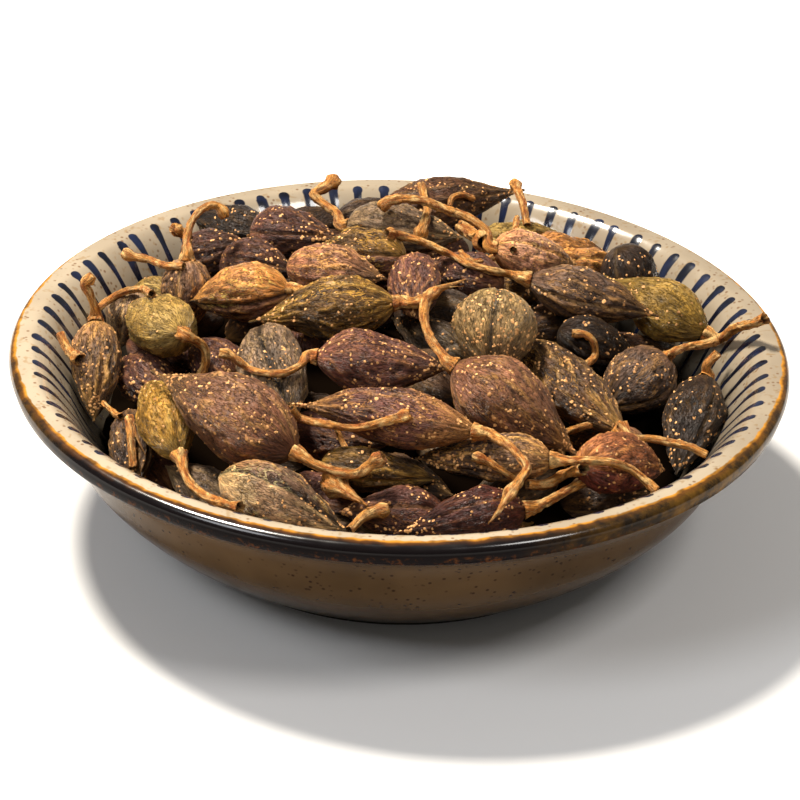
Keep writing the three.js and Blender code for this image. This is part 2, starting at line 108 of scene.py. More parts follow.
middle = eye + sight((400, 400)) * reach_at((400, 400), 0)
print("the middle of the picture meets lip height at", middle.round(1), "mm")

# %% [markdown]
# ## Where the fruit lie
#
# A capsule is an egg with a drawn-out beak. Its outline is a formula with
# three numbers: where the belly is, how blunt the stem end is and how drawn
# out the beak is. A few such outlines cover all the fruit.

# %% The outline of a capsule
PLUMP = (0.36, 0.5, 1.1)
ROUND = (0.4, 0.45, 1.0)
DROP = (0.38, 0.8, 1.4)
OVAL = (0.48, 0.75, 0.75)
PEAR = (0.34, 0.7, 1.7)
SPLIT = (0.38, 0.65, 1.15)
BEAKED = (0.36, 0.75, 1.6)
SPINDLE = (0.42, 1.2, 2.0)
NECKED = (0.54, 1.2, 0.5)


def fullness(outline, t):
    """Half width as a share of half the girth, from stem (0) to beak (1)."""
    belly, base, beak = outline
    t = np.asarray(t, float)
    low = 1 - (1 - np.minimum(t, belly) / belly) ** 2
    high = 1 - ((np.maximum(t, belly) - belly) / (1 - belly)) ** 2
    return np.where(t < belly, np.maximum(0.14, low ** base),
                    np.maximum(0.05, high ** beak))


print("fullness of a plump fruit:", fullness(PLUMP, np.linspace(0, 1, 6)).round(2))

# %% The fruit: stem pixel, height; beak pixel, height; girth, outline, finish, brightness with painted light and shade
FRUIT = [
    # brightness is the fruit's own tone together with painted light and shade: fruit that lie in
    # shadow are made darker
    (96, 322, 0, 94, 421, -9.5, 7.9, PLUMP, "spotted dark", 1.7),
    (134, 290, -1.5, 120, 348, -9, 7.4, PLUMP, "grey", 2.2),
    (172, 298, -1, 126, 306, -7, 8, PLUMP, "olive", 1.0),
    (187, 258, 5, 186, 338, -7, 7.8, PLUMP, "dark", 2.3),
    (184, 334, 2, 129, 306, -2, 9.2, PLUMP, "olive", 1.0),
    (290, 291, 5, 191, 301, 1, 9.4, SPLIT, "orange", 1.75),
    (224, 264, 0.5, 294, 272, 3, 8.8, PLUMP, "purple", 0.68),
    (182, 260, -2, 250, 244, 1, 7.6, PLUMP, "purple", 0.62),
    (272, 236, 1.5, 182, 214, -1.5, 6.8, PLUMP, "dark", 0.28),
    (252, 232, 1.5, 339, 238, 4, 9, PLUMP, "purple", 1.0),
    (368, 221, 2, 524, 190, 2, 9.2, BEAKED, "brown", 0.55),
    (348, 226, 3.5, 462, 238, 5, 9.6, PLUMP, "grey brown", 1.45),
    (405, 258, 6, 308, 252, 3.5, 8.6, PLUMP, "dark olive", 0.92),
    (288, 266, 4.5, 386, 279, 6, 8, PLUMP, "brown", 1.75),
    (416, 262, 6.5, 417, 318, 5, 8.4, PLUMP, "purple", 1.5),
    (396, 303, 6.5, 250, 322, 3.5, 9.8, BEAKED, "dark olive", 1.0),
    (497, 296, 7, 491, 374, 3, 12.3, ROUND, "spotted olive", 1.03),
    (452, 365, 5, 577, 454, -1.5, 11.6, DROP, "brown", 1.2),
    (314, 357, 4.5, 451, 369, 4.5, 9.6, DROP, "purple", 1.5),
    (264, 332, 2.5, 293, 420, -1, 10, ROUND, "grey", 1.4),
    (296, 453, -0.5, 152, 371, 0.5, 11.8, PEAR, "brown", 1.0),
    (180, 457, -3.5, 150, 383, -2, 8.4, OVAL, "tan", 1.0),
    (220, 476, -4.5, 346, 530, -7, 9.8, SPLIT, "grey tan", 2.2),
    (484, 433, 1.5, 289, 404, 1.5, 8.9, SPINDLE, "gilded purple", 1.25),
    (322, 462, -3, 438, 480, -3.5, 6.8, PLUMP, "dark olive", 0.6),
    (552, 460, -2.5, 416, 458, -2, 7.2, PLUMP, "spotted dark", 1.85),
    (526, 509, -5.5, 397, 533, -6.5, 8.2, PEAR, "plum", 0.47),
    (582, 464, -1.5, 664, 470, -7.5, 9.2, PLUMP, "plum", 1.35),
    (627, 434, -2, 526, 348, 3, 8.8, NECKED, "veined", 0.8),
    (664, 360, -3, 604, 410, -7, 10.2, ROUND, "dark", 1.4),
    (706, 380, -4, 676, 474, -9, 8.4, PLUMP, "dark", 0.36),
    (712, 336, -3, 604, 276, 0.5, 9.6, SPINDLE, "golden olive", 0.66),
    (526, 279, 5, 658, 316, -1, 8.4, DROP, "dark", 1.5),
    (494, 247, 6, 576, 264, 2, 7.6, PLUMP, "spotted orange", 1.85),
    (548, 266, 0, 632, 269, -3.5, 6.8, PLUMP, "orange", 1.45),
    (530, 252, -0.5, 608, 254, -3, 6.8, PLUMP, "orange", 1.0),
    (618, 248, 2, 650, 316, -7, 9.6, ROUND, "dark", 0.31),
    (482, 240, 2.5, 572, 240, -0.5, 6.2, PLUMP, "olive", 1.0),
    (126, 366, -6, 180, 404, -4, 7.8, PLUMP, "purple", 1.0),
    (240, 386, -4, 188, 340, -0.5, 8.2, PLUMP, "purple", 1.0),
    (131, 412, -4, 134, 492, -13, 7, PLUMP, "dark", 1.0),
    (172, 490, -10, 120, 452, -12, 7.4, PLUMP, "purple", 1.0),
    (240, 512, -10, 166, 466, -7.5, 7.6, PLUMP, "grey brown", 1.0),
    (446, 518, -9, 340, 512, -6.5, 7.6, PLUMP, "purple", 1.0),
    (502, 284, 3.5, 420, 266, 2, 7.4, PLUMP, "purple", 1.0),
    (474, 362, 0.5, 392, 318, 0.5, 7.6, PLUMP, "grey brown", 0.6),
    (560, 330, -1.5, 640, 368, -7.5, 8.2, PLUMP, "dark", 0.2),
    (516, 398, -4, 606, 442, -9, 8.2, PLUMP, "veined", 0.7),
    (290, 428, -6, 390, 444, -5, 7.6, PLUMP, "purple", 1.0),
    (560, 506, -11, 660, 490, -9, 7.6, PLUMP, "dark", 1.0),
]
print(len(FRUIT), "fruit that show")

# %% [markdown]
# ## Letting the heap settle
#
# Heights read off are never quite right, so some fruit overlap. Each one is
# treated as a row of balls, and where two rows overlap both fruit slide apart
# along the line of sight. That keeps every fruit where the picture shows it.
# The CAD model follows the same rule, so both end up with the same heap.

# %% Slide overlapping fruit apart
SETTLE_ROUNDS = 60
SETTLE_BALLS = 9
SETTLE_SHARE = 0.25
SETTLE_STEP = 1.5
TOUCH = 0.97

rays = np.array([[sight(row[0:2]), sight(row[3:5])] for row in FRUIT])
reaches = np.array([[reach_at(row[0:2], row[2]), reach_at(row[3:5], row[5])]
                    for row in FRUIT])
girths = np.array([row[6] for row in FRUIT])
outlines = [row[7] for row in FRUIT]


def ball_stations(count):
    return (np.arange(count) + 0.5) / count


def fruit_ends():
    return eye + rays * reaches[:, :, None]


def all_balls(count):
    """Centres and radii of every fruit's balls: (fruit, ball, xyz) and (fruit, ball)."""
    t = ball_stations(count)
    ends = fruit_ends()
    centres = ends[:, :1] + (ends[:, 1:] - ends[:, :1]) * t[None, :, None]
    radii = np.array([fullness(o, t) for o in outlines]) * girths[:, None] / 2
    return centres, radii


def settle():
    """Slides overlapping fruit apart, and returns the last move in mm."""
    global reaches
    lines = rays.sum(1)
    lines /= np.linalg.norm(lines, axis=1)[:, None]
    t = ball_stations(SETTLE_BALLS)
    _, radii = all_balls(SETTLE_BALLS)
    for _ in range(SETTLE_ROUNDS):
        centres, _ = all_balls(SETTLE_BALLS)
        slide = np.zeros_like(reaches)
        for i in range(len(FRUIT) - 1):
            apart = centres[i][None, :, None] - centres[i + 1:, None]
            reach = (radii[i][None, :, None] + radii[i + 1:, None]) * TOUCH
            depth = (reach - np.linalg.norm(apart, axis=3)).reshape(len(apart), -1)
            for n in np.flatnonzero(depth.max(1) > 0):
                a, b = divmod(int(depth[n].argmax()), SETTLE_BALLS)
                gap = apart[n, a, b]
                along = gap @ lines[i]
                aside = max(0.0, gap @ gap - along * along)
                need = math.sqrt(max(0.0, reach[n, a, b] ** 2 - aside)) - abs(along)
                step = SETTLE_SHARE * min(need, SETTLE_STEP) * (1 if along > 0 else -1)
                slide[i] += step * np.array([1 - t[a], t[a]])
                slide[i + 1 + n] -= step * np.array([1 - t[b], t[b]])
        reaches = reaches + slide
    return np.abs(slide).max()


print(f"the last round still moved a fruit by {settle():.3f} mm")

# %% [markdown]
# ## Fruit that the picture hides
#
# A heap seen from above or behind needs fruit there as well. Places lie on a
# sunflower spiral, each fruit takes a chance heading and sinks until it fits.
# The small random number generator is written out, so that this script and
# the CAD model draw the same numbers.

# %% The bowl's inner wall
WALL_POINTS = [(LIP_INNER, LIP_HEIGHT), (51.3, LIP_HEIGHT - 2.3),
               (48.3, LIP_HEIGHT - 6.3), (44.8, LIP_HEIGHT - 13),
               (39.5, LIP_HEIGHT - 18.7), (32.5, LIP_HEIGHT - 22)]


def smooth_run(points, steps):
    """A smooth curve through points in the plane (a uniform Catmull-Rom curve)."""
    points = np.array(points, float)
    last = len(points) - 1
    run = []
    for s in np.linspace(0, last, steps + 1):
        k = min(int(s), last)
        w = s - k
        p0, p1 = points[max(k - 1, 0)], points[k]
        p2, p3 = points[min(k + 1, last)], points[min(k + 2, last)]
        v0, v1 = (p2 - p0) / 2, (p3 - p1) / 2
        run.append((2 * p1 - 2 * p2 + v0 + v1) * w ** 3
                   + (-3 * p1 + 3 * p2 - 2 * v0 - v1) * w ** 2 + v0 * w + p1)
    return np.array(run)


wall_run = smooth_run(WALL_POINTS, 8)


def wall_radius(z):
    """Radius of the bowl's inner wall at a height."""
    return np.interp(z, wall_run[::-1, 1], wall_run[::-1, 0], left=0.0)


print("wall radius at 10, 20 and 27 mm:", wall_radius(np.array([10, 20, 27])).round(1))

# %% Which skin the eye sees along a ray
DRAPE_BALLS = 15
skin_centres, skin_radii = all_balls(DRAPE_BALLS)
skin_centres = skin_centres.reshape(-1, 3) - eye
skin_radii = skin_radii.reshape(-1)
skin_square = (skin_centres ** 2).sum(1)


def reach_of_skin(directions):
    """Distance from the eye to the fruit along each unit vector, or infinity."""
    along = directions @ skin_centres.T
    aside = skin_square - along ** 2
    inside = aside < skin_radii ** 2
    near = along - np.sqrt(np.where(inside, skin_radii ** 2 - aside, 0))
    return np.where(inside, near, np.inf).min(-1)


print("the skin at the middle of the picture is",
      round(float(reach_of_skin(sight((400, 400))[None])[0]), 1), "mm away")

# %% Tuck hidden fruit into the heap
HIDDEN_SPREAD = 46
HIDDEN_LOWEST = 7
HIDDEN_TILT = 0.35
HIDDEN_LENGTHS, HIDDEN_GIRTHS = (15.5, 19.5), (7.2, 9.2)
WALL_MARGIN = 1.15
SEEN_POINTS = 2                 # so few points in front of a seen fruit don't matter
GOLDEN_ANGLE = math.pi * (3 - math.sqrt(5))


class Chance:
    """A small random number generator, so that each run is the same."""

    def __init__(self, seed):
        self.state = seed

    def __call__(self, low, high):
        self.state = (self.state * 1664525 + 1013904223) % 4294967296
        return low + (high - low) * self.state / 4294967296


def crown_height(x, y):
    """Height of the uppermost fruit centres over a place."""
    return (LIP_HEIGHT + MOUND_TOP + y * math.tan(MOUND_TILT)
            - MOUND_FALL * (x * x + y * y))


def points_in_front(centres, radii):
    """How many points of these balls would hide a fruit of the picture."""
    total = 0
    for right, up in ((0, 0), (1, 0), (-1, 0), (0, 1)):
        line = (centres + (picture_right * right + picture_up * up)
                * radii[:, None] * 0.8 - eye)
        reach = np.linalg.norm(line, axis=1)
        skin = reach_of_skin(line / reach[:, None])
        total += int(((skin < np.inf) & (reach < skin + radii * 0.3)).sum())
    return total


taken_centres, taken_radii = all_balls(SETTLE_BALLS)
taken_centres = list(taken_centres.reshape(-1, 3))
taken_radii = list(taken_radii.reshape(-1))


def tuck_in(places, drops, overlap, seed):
    """Fruit as (stem point, beak point, girth), added to what is taken."""
    chance, placed = Chance(seed), []
    t = ball_stations(SETTLE_BALLS)
    for k in range(places):
        r = HIDDEN_SPREAD * math.sqrt((k + 0.5) / places)
        x, y = r * math.cos(k * GOLDEN_ANGLE), r * math.sin(k * GOLDEN_ANGLE)
        heading, tilt = chance(0, 2 * math.pi), chance(-HIDDEN_TILT, HIDDEN_TILT)
        length, girth = chance(*HIDDEN_LENGTHS), chance(*HIDDEN_GIRTHS)
        axis = np.array([math.cos(heading) * math.cos(tilt),
                         math.sin(heading) * math.cos(tilt), math.sin(tilt)])
        radii = fullness(PLUMP, t) * girth / 2
        others, other_radii = np.array(taken_centres), np.array(taken_radii)
        for drop in range(drops):
            z = crown_height(x, y) - drop
            if z - girth / 2 < HIDDEN_LOWEST:
                break
            stem = np.array([x, y, z]) - axis * length * 0.42
            row = stem + axis * length * t[:, None]
            out = np.hypot(row[:, 0], row[:, 1]) + radii * WALL_MARGIN
            if (out > wall_radius(row[:, 2])).any():
                continue
            far = np.linalg.norm(row[:, None] - others[None], axis=2)
            if (radii[:, None] + other_radii[None] - far > overlap).any():
                continue
            if points_in_front(row, radii) > SEEN_POINTS:
                continue
            placed.append((stem, stem + axis * length, girth))
            taken_centres.extend(row)
            taken_radii.extend(radii)
            break
    return placed


hidden = tuck_in(260, 10, 0.9, 7)
print(len(hidden), "hidden fruit, as in the CAD model")
deeper = tuck_in(520, 16, 1.4, 3)
print(len(deeper), "more below them, for the gaps")

# %% [markdown]
# ## Meshes from grids
#
# Fruit, stalks and the dish are all skins over a grid: rings of points, one
# ring after another. One helper turns grids into a mesh. It also lays the
# grids side by side in one texture map, so that colours can be baked.

# %% Build one mesh from many grids
def srgb(text):
    """A web colour as linear red, green, blue."""
    c = np.array([int(text[i:i + 2], 16) for i in (1, 3, 5)]) / 255
    return np.where(c <= 0.04045, c / 12.92, ((c + 0.055) / 1.055) ** 2.4)


def add_object(name, data):
    made = bpy.data.objects.new(name, data)
    bpy.context.scene.collection.objects.link(made)
    return made


def mesh_piece(name, points, quads, uv, values, material):
    """A riding object from points in mm, quads, a texture map and attributes."""
    mesh = bpy.data.meshes.new(name)
    mesh.vertices.add(len(points))
    mesh.vertices.foreach_set("co", (np.asarray(points) * MM).astype(np.float32).ravel())
    triangle = quads[:, 2] == quads[:, 3]
    corners = np.concatenate([quads[~triangle].ravel(), quads[triangle][:, :3].ravel()])
    sizes = np.concatenate([np.full((~triangle).sum(), 4), np.full(triangle.sum(), 3)])
    mesh.loops.add(len(corners))
    mesh.loops.foreach_set("vertex_index", corners.astype(np.int32))
    mesh.polygons.add(len(sizes))
    mesh.polygons.foreach_set(
        "loop_start", np.concatenate([[0], np.cumsum(sizes)[:-1]]).astype(np.int32))
    mesh.polygons.foreach_set("use_smooth", np.full(len(sizes), True))
    if uv is not None:
        layer = mesh.uv_layers.new(name="OFBake")
        flat = np.concatenate([uv[~triangle].reshape(-1, 2),
                               uv[triangle][:, :3].reshape(-1, 2)])
        layer.data.foreach_set("uv", flat.astype(np.float32).ravel())
    for key, value in values.items():
        value = np.asarray(value, np.float32)
        if value.ndim == 1:
            mesh.attributes.new(key, "FLOAT", "POINT").data.foreach_set("value", value)
        elif key == "grain":
            mesh.attributes.new(key, "FLOAT_VECTOR", "POINT").data.foreach_set(
                "vector", value.ravel())
        else:
            rgba = np.concatenate([value, np.ones((len(value), 1), np.float32)], 1)
            mesh.attributes.new(key, "FLOAT_COLOR", "POINT").data.foreach_set(
                "color", rgba.ravel())
    mesh.update(calc_edges=True)
    mesh.validate()
    mesh.materials.append(material)
    piece = add_object(name, mesh)
    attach(piece, "root")
    print(f"{name}: {len(points)} points, {int((sizes - 2).sum())} triangles")
    return piece


RING_ROOM = ((0.03, 0.94), (0.03, 0.94))   # start and share of its place in the texture map
STRIP_ROOM = ((0.0, 0.9), (0.0, 1.0))


def join_grids(grids, closed=True):
    """Points, quads, map and values of many (rings, sides) grids with their values.
    A strip isn't closed round: it has two long edges."""
    across = math.ceil(math.sqrt(len(grids))) if closed else len(grids)
    down = math.ceil(len(grids) / across)
    (left, wide), (low, high) = RING_ROOM if closed else STRIP_ROOM
    points, quads, uvs, values, first = [], [], [], {}, 0
    for number, (grid, extra) in enumerate(grids):
        rings, sides = grid.shape[:2]
        spans = sides if closed else sides - 1
        k, a = np.meshgrid(np.arange(rings - 1), np.arange(spans), indexing="ij")
        k = k.reshape(-1, 1) + ((0, 0, 1, 1) if closed else (0, 1, 1, 0))
        a = a.reshape(-1, 1) + ((0, 1, 1, 0) if closed else (0, 0, 1, 1))
        quads.append(first + k * sides + a % sides)
        uvs.append(np.stack([(number % across + left + wide * (a / spans)) / across,
                             (number // across + low + high * (k / (rings - 1))) / down], 2))
        points.append(grid.reshape(-1, 3))
        for key, value in extra.items():
            values.setdefault(key, []).append(value.reshape(rings * sides, -1).squeeze())
        first += rings * sides
    return (np.concatenate(points), np.concatenate(quads), np.concatenate(uvs),
            {key: np.concatenate(v) for key, v in values.items()})


def weld_ends(points, quads):
    """Quads that end on one repeated point become triangles that share it."""
    key = np.round(points, 5)
    _, first, back = np.unique(key, axis=0, return_index=True, return_inverse=True)
    quads = first[back.reshape(-1)][quads]
    low = quads[:, 0] == quads[:, 1]
    high = quads[:, 2] == quads[:, 3]
    order = np.tile(np.arange(4), (len(quads), 1))
    order[low] = [1, 2, 3, 3]
    quads = np.take_along_axis(quads, order, 1)
    return quads, order, ~(low & high)


def grid_piece(name, grids, material):
    """One object from many grids that are closed round."""
    points, quads, uv, values = join_grids(grids)
    quads, order, keep = weld_ends(points, quads)
    uv = np.take_along_axis(uv, order[:, :, None], 1)
    used, quads = np.unique(quads[keep], return_inverse=True)
    return mesh_piece(name, points[used], quads.reshape(-1, 4), uv[keep],
                      {key: v[used] for key, v in values.items()}, material)


print("mesh helpers ready")

# %% [markdown]
# ## The skin of a dried capsule
#
# As the fruit dries, the wall shrinks onto its ribs. Two seams run from stem
# to beak where the capsule will split, thin veins run beside them and meet at
# the beak, and the skin between them wrinkles. All of that is real height
# here, worked out on a grid in the fruit's own terms: along it and around it.

# %% Smooth chance fields
def smooth_field(points, size, rng, waves=14):
    """Smooth chance values, about -1 to 1, with lumps of a size in mm."""
    turn = rng.normal(size=(waves, 3))
    turn /= np.linalg.norm(turn, axis=1)[:, None]
    turn *= 2 * math.pi / size * rng.uniform(0.5, 1.3, (waves, 1))
    phase = rng.uniform(0, 2 * math.pi, waves)
    return np.cos(points @ turn.T + phase).sum(-1) / math.sqrt(waves)


# %% The finishes: colours at the stem, belly and beak, and of veins and seam
FINISH = {
    #                 stem       belly      beak       vein       seam    dots wrinkle
    "dark":         ("#5e4432", "#49362a", "#2c2018", "#8a6438", "#b08a58", 0.7, 1.0),
    "grey":         ("#725a44", "#64503e", "#463628", "#94764c", "#a08256", 0.4, 0.8),
    "olive":        ("#a68648", "#907034", "#5a4420", "#b2924e", "#c0a260", 0.3, 0.9),
    "golden olive": ("#9c7a34", "#a47e34", "#70521f", "#c8a04c", "#d0aa58", 0.3, 0.7),
    "orange":       ("#b07034", "#8a5a30", "#4a301a", "#cc8c44", "#d0a058", 0.4, 1.0),
    "purple":       ("#6a4032", "#503028", "#35221a", "#8e5e38", "#9c6e44", 1.0, 0.9),
    "brown":        ("#7c4e38", "#6e4832", "#4a3422", "#a47640", "#b08250", 0.8, 1.0),
    "grey brown":   ("#705a40", "#5e4a38", "#403226", "#8a704c", "#947850", 0.4, 0.9),
    "dark olive":   ("#7d5a26", "#54391a", "#382410", "#c89644", "#d4a850", 0.7, 1.3),
    "spotted olive": ("#8c7446", "#82663e", "#624a2e", "#b08e5a", "#6a5434", 1.8, 0.7),
    "tan":          ("#a67c34", "#9c7028", "#6c4a1c", "#c09a4c", "#6c4c20", 0.6, 0.9),
    "grey tan":     ("#967a50", "#624a34", "#3c2c20", "#a8885c", "#5a4226", 0.7, 0.9),
    "spotted dark": ("#7c5632", "#4c382a", "#302218", "#a0763c", "#8c663e", 1.5, 0.9),
    "red brown":    ("#965a34", "#744428", "#3c2218", "#c08044", "#b8783c", 0.6, 0.9),
    "plum":         ("#6e3428", "#57271f", "#3a1c14", "#a0603a", "#b0703f", 0.9, 0.9),
    "gilded purple": ("#a06a38", "#5c382e", "#36221a", "#b07c44", "#b08048", 1.0, 0.9),
    "veined":       ("#744c28", "#563a24", "#442e18", "#bc8c48", "#c49650", 1.1, 1.2),
    "spotted orange": ("#a8683a", "#86604a", "#584032", "#b88450", "#b88848", 1.4, 0.8),
}
COLOURS = {name: [srgb(c) for c in row[:5]] for name, row in FINISH.items()}
print(len(FINISH), "finishes")

# %% Where lumps, seams, veins and creases run
LUMP, SMALL_LUMP = 0.26, 0.10   # heights in mm
SEAM_SWAY = 0.10                # a seam isn't quite straight
SEAM_WIDTH, SEAM_LIP_WIDTH = 0.26, 0.4
VEIN_WIDTH = 0.40
CREASE_WIDTH = 0.24


def mix(a, b, share):
    """From vector a to vector b, by a share at each point."""
    return a + (b - a) * share[..., None]


def bell(x, width):
    """A bump, 1 in the middle, that fades over a width."""
    return np.exp(-(x / width) ** 2)


def skin_marks(smooth, T, A, half, girth, length, seam, cleft, rng):
    """Fields over the grid of one fruit. T runs along it and A around it."""
    marks = SimpleNamespace()
    marks.lumps = (LUMP * smooth_field(smooth, 9, rng)
                   + SMALL_LUMP * smooth_field(smooth, 3.5, rng))
    chance_seam = rng.uniform(-1.0, 1.0)
    seam_at = chance_seam if seam is None else seam
    marks.from_seam = A - seam_at - SEAM_SWAY * np.sin(3.1 * T + rng.uniform(0, 6))
    around = (marks.from_seam + math.pi / 2) % math.pi - math.pi / 2
    marks.off_seam = around * np.maximum(half, 0.3)
    marks.groove = bell(marks.off_seam, SEAM_WIDTH * cleft)
    marks.lips = bell(np.abs(marks.off_seam) - 0.3 - 0.42 * cleft, SEAM_LIP_WIDTH)

    # veins lie beside the seams and close in on both ends, creases lie between
    veins = rng.integers(5, 8) * 2
    drift = 0.35 * np.sin(2.3 * T + rng.uniform(0, 6)) + 0.14 * smooth_field(smooth, 4, rng)
    wave = np.abs(np.sin(veins * (A - seam_at + drift) / 2))
    broken = np.clip(0.55 + 0.7 * smooth_field(smooth, 4.5, rng), 0, 1)
    marks.vein = np.clip(1 - wave * half * 2 / veins / VEIN_WIDTH, 0, 1) * broken
    folds = np.abs(smooth_field(
        np.stack([np.cos(A) * girth / 2, np.sin(A) * girth / 2, T * length * 0.26], -1),
        1.5, rng, 24))
    marks.crease = np.clip(1 - folds / CREASE_WIDTH, 0, 1)
    return marks


print("the middle of a groove counts", bell(0.0, SEAM_WIDTH), "and its edge",
      bell(SEAM_WIDTH, SEAM_WIDTH).round(2))

# %% The colours of one fruit
SEAM_LINE = 0.17                # half width of the pale line along a closed seam


def skin_colours(marks, T, cloud, patch, finish, other, cleft, painted_light_and_tone):
    """Colours over the grid of one fruit, and the colour of its raised lines."""

    def paint(kind):
        stem_c, belly_c, beak_c, vein_c, seam_c = COLOURS[kind]
        skin = mix(mix(stem_c, belly_c, np.clip(T / 0.35 + 0.25 * cloud, 0, 1)),
                   beak_c, np.clip((T - 0.5) / 0.5 + 0.2 * cloud, 0, 1) ** 1.4)
        skin = skin * np.clip(1 + 0.24 * patch + 0.18 * cloud, 0.3, 2)[..., None]
        skin = mix(skin, vein_c, 0.9 * marks.vein * np.clip(FINISH[finish][6], 0, 1))
        line = bell(marks.off_seam, SEAM_LINE) * np.clip(0.7 + 0.6 * cloud, 0, 1)
        return mix(skin, seam_c, (0.85 if cleft == 1.0 else 0.0) * line), vein_c

    skin, vein_c = paint(finish)
    if other:
        skin = np.where((np.sin(marks.from_seam) < 0)[..., None], paint(other)[0], skin)
    # painted shade: creases are darkened, and open clefts nearly to black
    dark = np.clip(0.55 * marks.crease + 0.95 * marks.groove * (cleft > 1), 0, 0.9)
    # the brightness holds painted light and shade as well as the fruit's own tone
    return (np.clip(skin * (painted_light_and_tone * (1 - dark))[..., None], 0.003, 0.9),
            np.clip(1.35 * painted_light_and_tone * vein_c, 0, 0.9) + 0 * skin)


print("a brown belly is", COLOURS["brown"][1].round(3), "in linear light")

# %% One capsule as a grid
SEEN_RINGS, SEEN_SIDES = 76, 70
HIDDEN_RINGS, HIDDEN_SIDES = 30, 26
SHRUNK = 0.15                   # mean skin under the outline, which only its ridges reach
LIP_RISE, GROOVE_DEPTH = 0.18, 0.38
VEIN_RISE, CREASE_DEPTH = 0.28, 0.26
BEND = 0.05                     # as a share of the girth
GRAIN_STRETCH = 0.4             # the fine texture is drawn out along the fruit


def capsule(stem, beak, girth, outline, finish, rng, rings, sides, painted_light_and_tone=1.0, seam=None,
            cleft=1.0, other=None):
    """A grid in mm with the values of its skin. The seam is an angle from the
    side that faces the picture, cleft deepens it, other is a second finish for
    the half beside it."""
    axis = beak - stem
    length = np.linalg.norm(axis)
    axis = axis / length
    front = to_eye - axis * (to_eye @ axis)
    front /= np.linalg.norm(front)
    side = np.cross(axis, front)

    # rings lie closer together toward both ends
    t = 0.5 - 0.5 * np.cos(np.pi * (0.04 + 0.96 * np.arange(rings) / (rings - 1)))
    t = (t - t[0]) / (1 - t[0])
    t = 0.55 * t + 0.45 * np.linspace(0, 1, rings)
    T, A = np.meshgrid(t, 2 * math.pi * np.arange(sides) / sides, indexing="ij")
    half = fullness(outline, T) * girth / 2
    middle_line = stem + axis * (T * length)[..., None]
    round_way = np.cos(A)[..., None] * front + np.sin(A)[..., None] * side
    smooth = middle_line + round_way * half[..., None]

    marks = skin_marks(smooth, T, A, half, girth, length, seam, cleft, rng)
    wrinkle = FINISH[finish][6]
    fade = np.sin(np.pi * np.clip(T, 0, 1)) ** 0.6
    height = (marks.lumps - SHRUNK) * fade
    height += (LIP_RISE * marks.lips - GROOVE_DEPTH * cleft * marks.groove) * fade
    height += (wrinkle * (VEIN_RISE * marks.vein - CREASE_DEPTH * marks.crease)
               * np.clip(fade * 1.3, 0, 1))
    height *= np.clip(half / (girth * 0.28), 0.12, 1)
    flat = 1 - (1 - FLATNESS) * np.cos(A) ** 2
    grid = middle_line + round_way * (half * flat + height)[..., None]
    bend = girth * BEND * np.sin(np.pi * T) * rng.uniform(-1, 1)
    grid = grid + side * bend[..., None]
    grid = np.concatenate([np.tile(stem - axis * 0.1, (1, sides, 1)), grid,
                           np.tile(beak + axis * 0.25, (1, sides, 1))])

    cloud = smooth_field(smooth, 6, rng)
    patch = smooth_field(smooth, 2.4, rng)
    skin, crest = skin_colours(marks, T, cloud, patch, finish, other, cleft, painted_light_and_tone)
    grain = np.stack([np.cos(A) * girth / 2, np.sin(A) * girth / 2,
                      T * length * GRAIN_STRETCH], -1) + rng.uniform(0, 90, 3)
    lively = np.clip(0.5 + 0.6 * smooth_field(smooth, 5, rng), 0.1, 1) * wrinkle
    values = {"skin": skin, "crest": crest, "grain": grain, "lively": lively}
    return grid, {key: np.concatenate([v[:1], v, v[-1:]]) for key, v in values.items()}


sample, _ = capsule(np.zeros(3), np.array([22.0, 0, 0]), 9.0, PLUMP, "brown",
                    np.random.default_rng(1), SEEN_RINGS, SEEN_SIDES)
print("a sample fruit spans", np.ptp(sample.reshape(-1, 3), axis=0).round(1), "mm")

# %% [markdown]
# ## Stalks
#
# A stalk was traced as a few pixels. Its reach runs evenly from one end to the
# other, and where it would sink into a fruit or float just behind one, it is
# lifted onto the skin that the eye sees there. So it lies on the heap from
# every side, and not only in the picture.

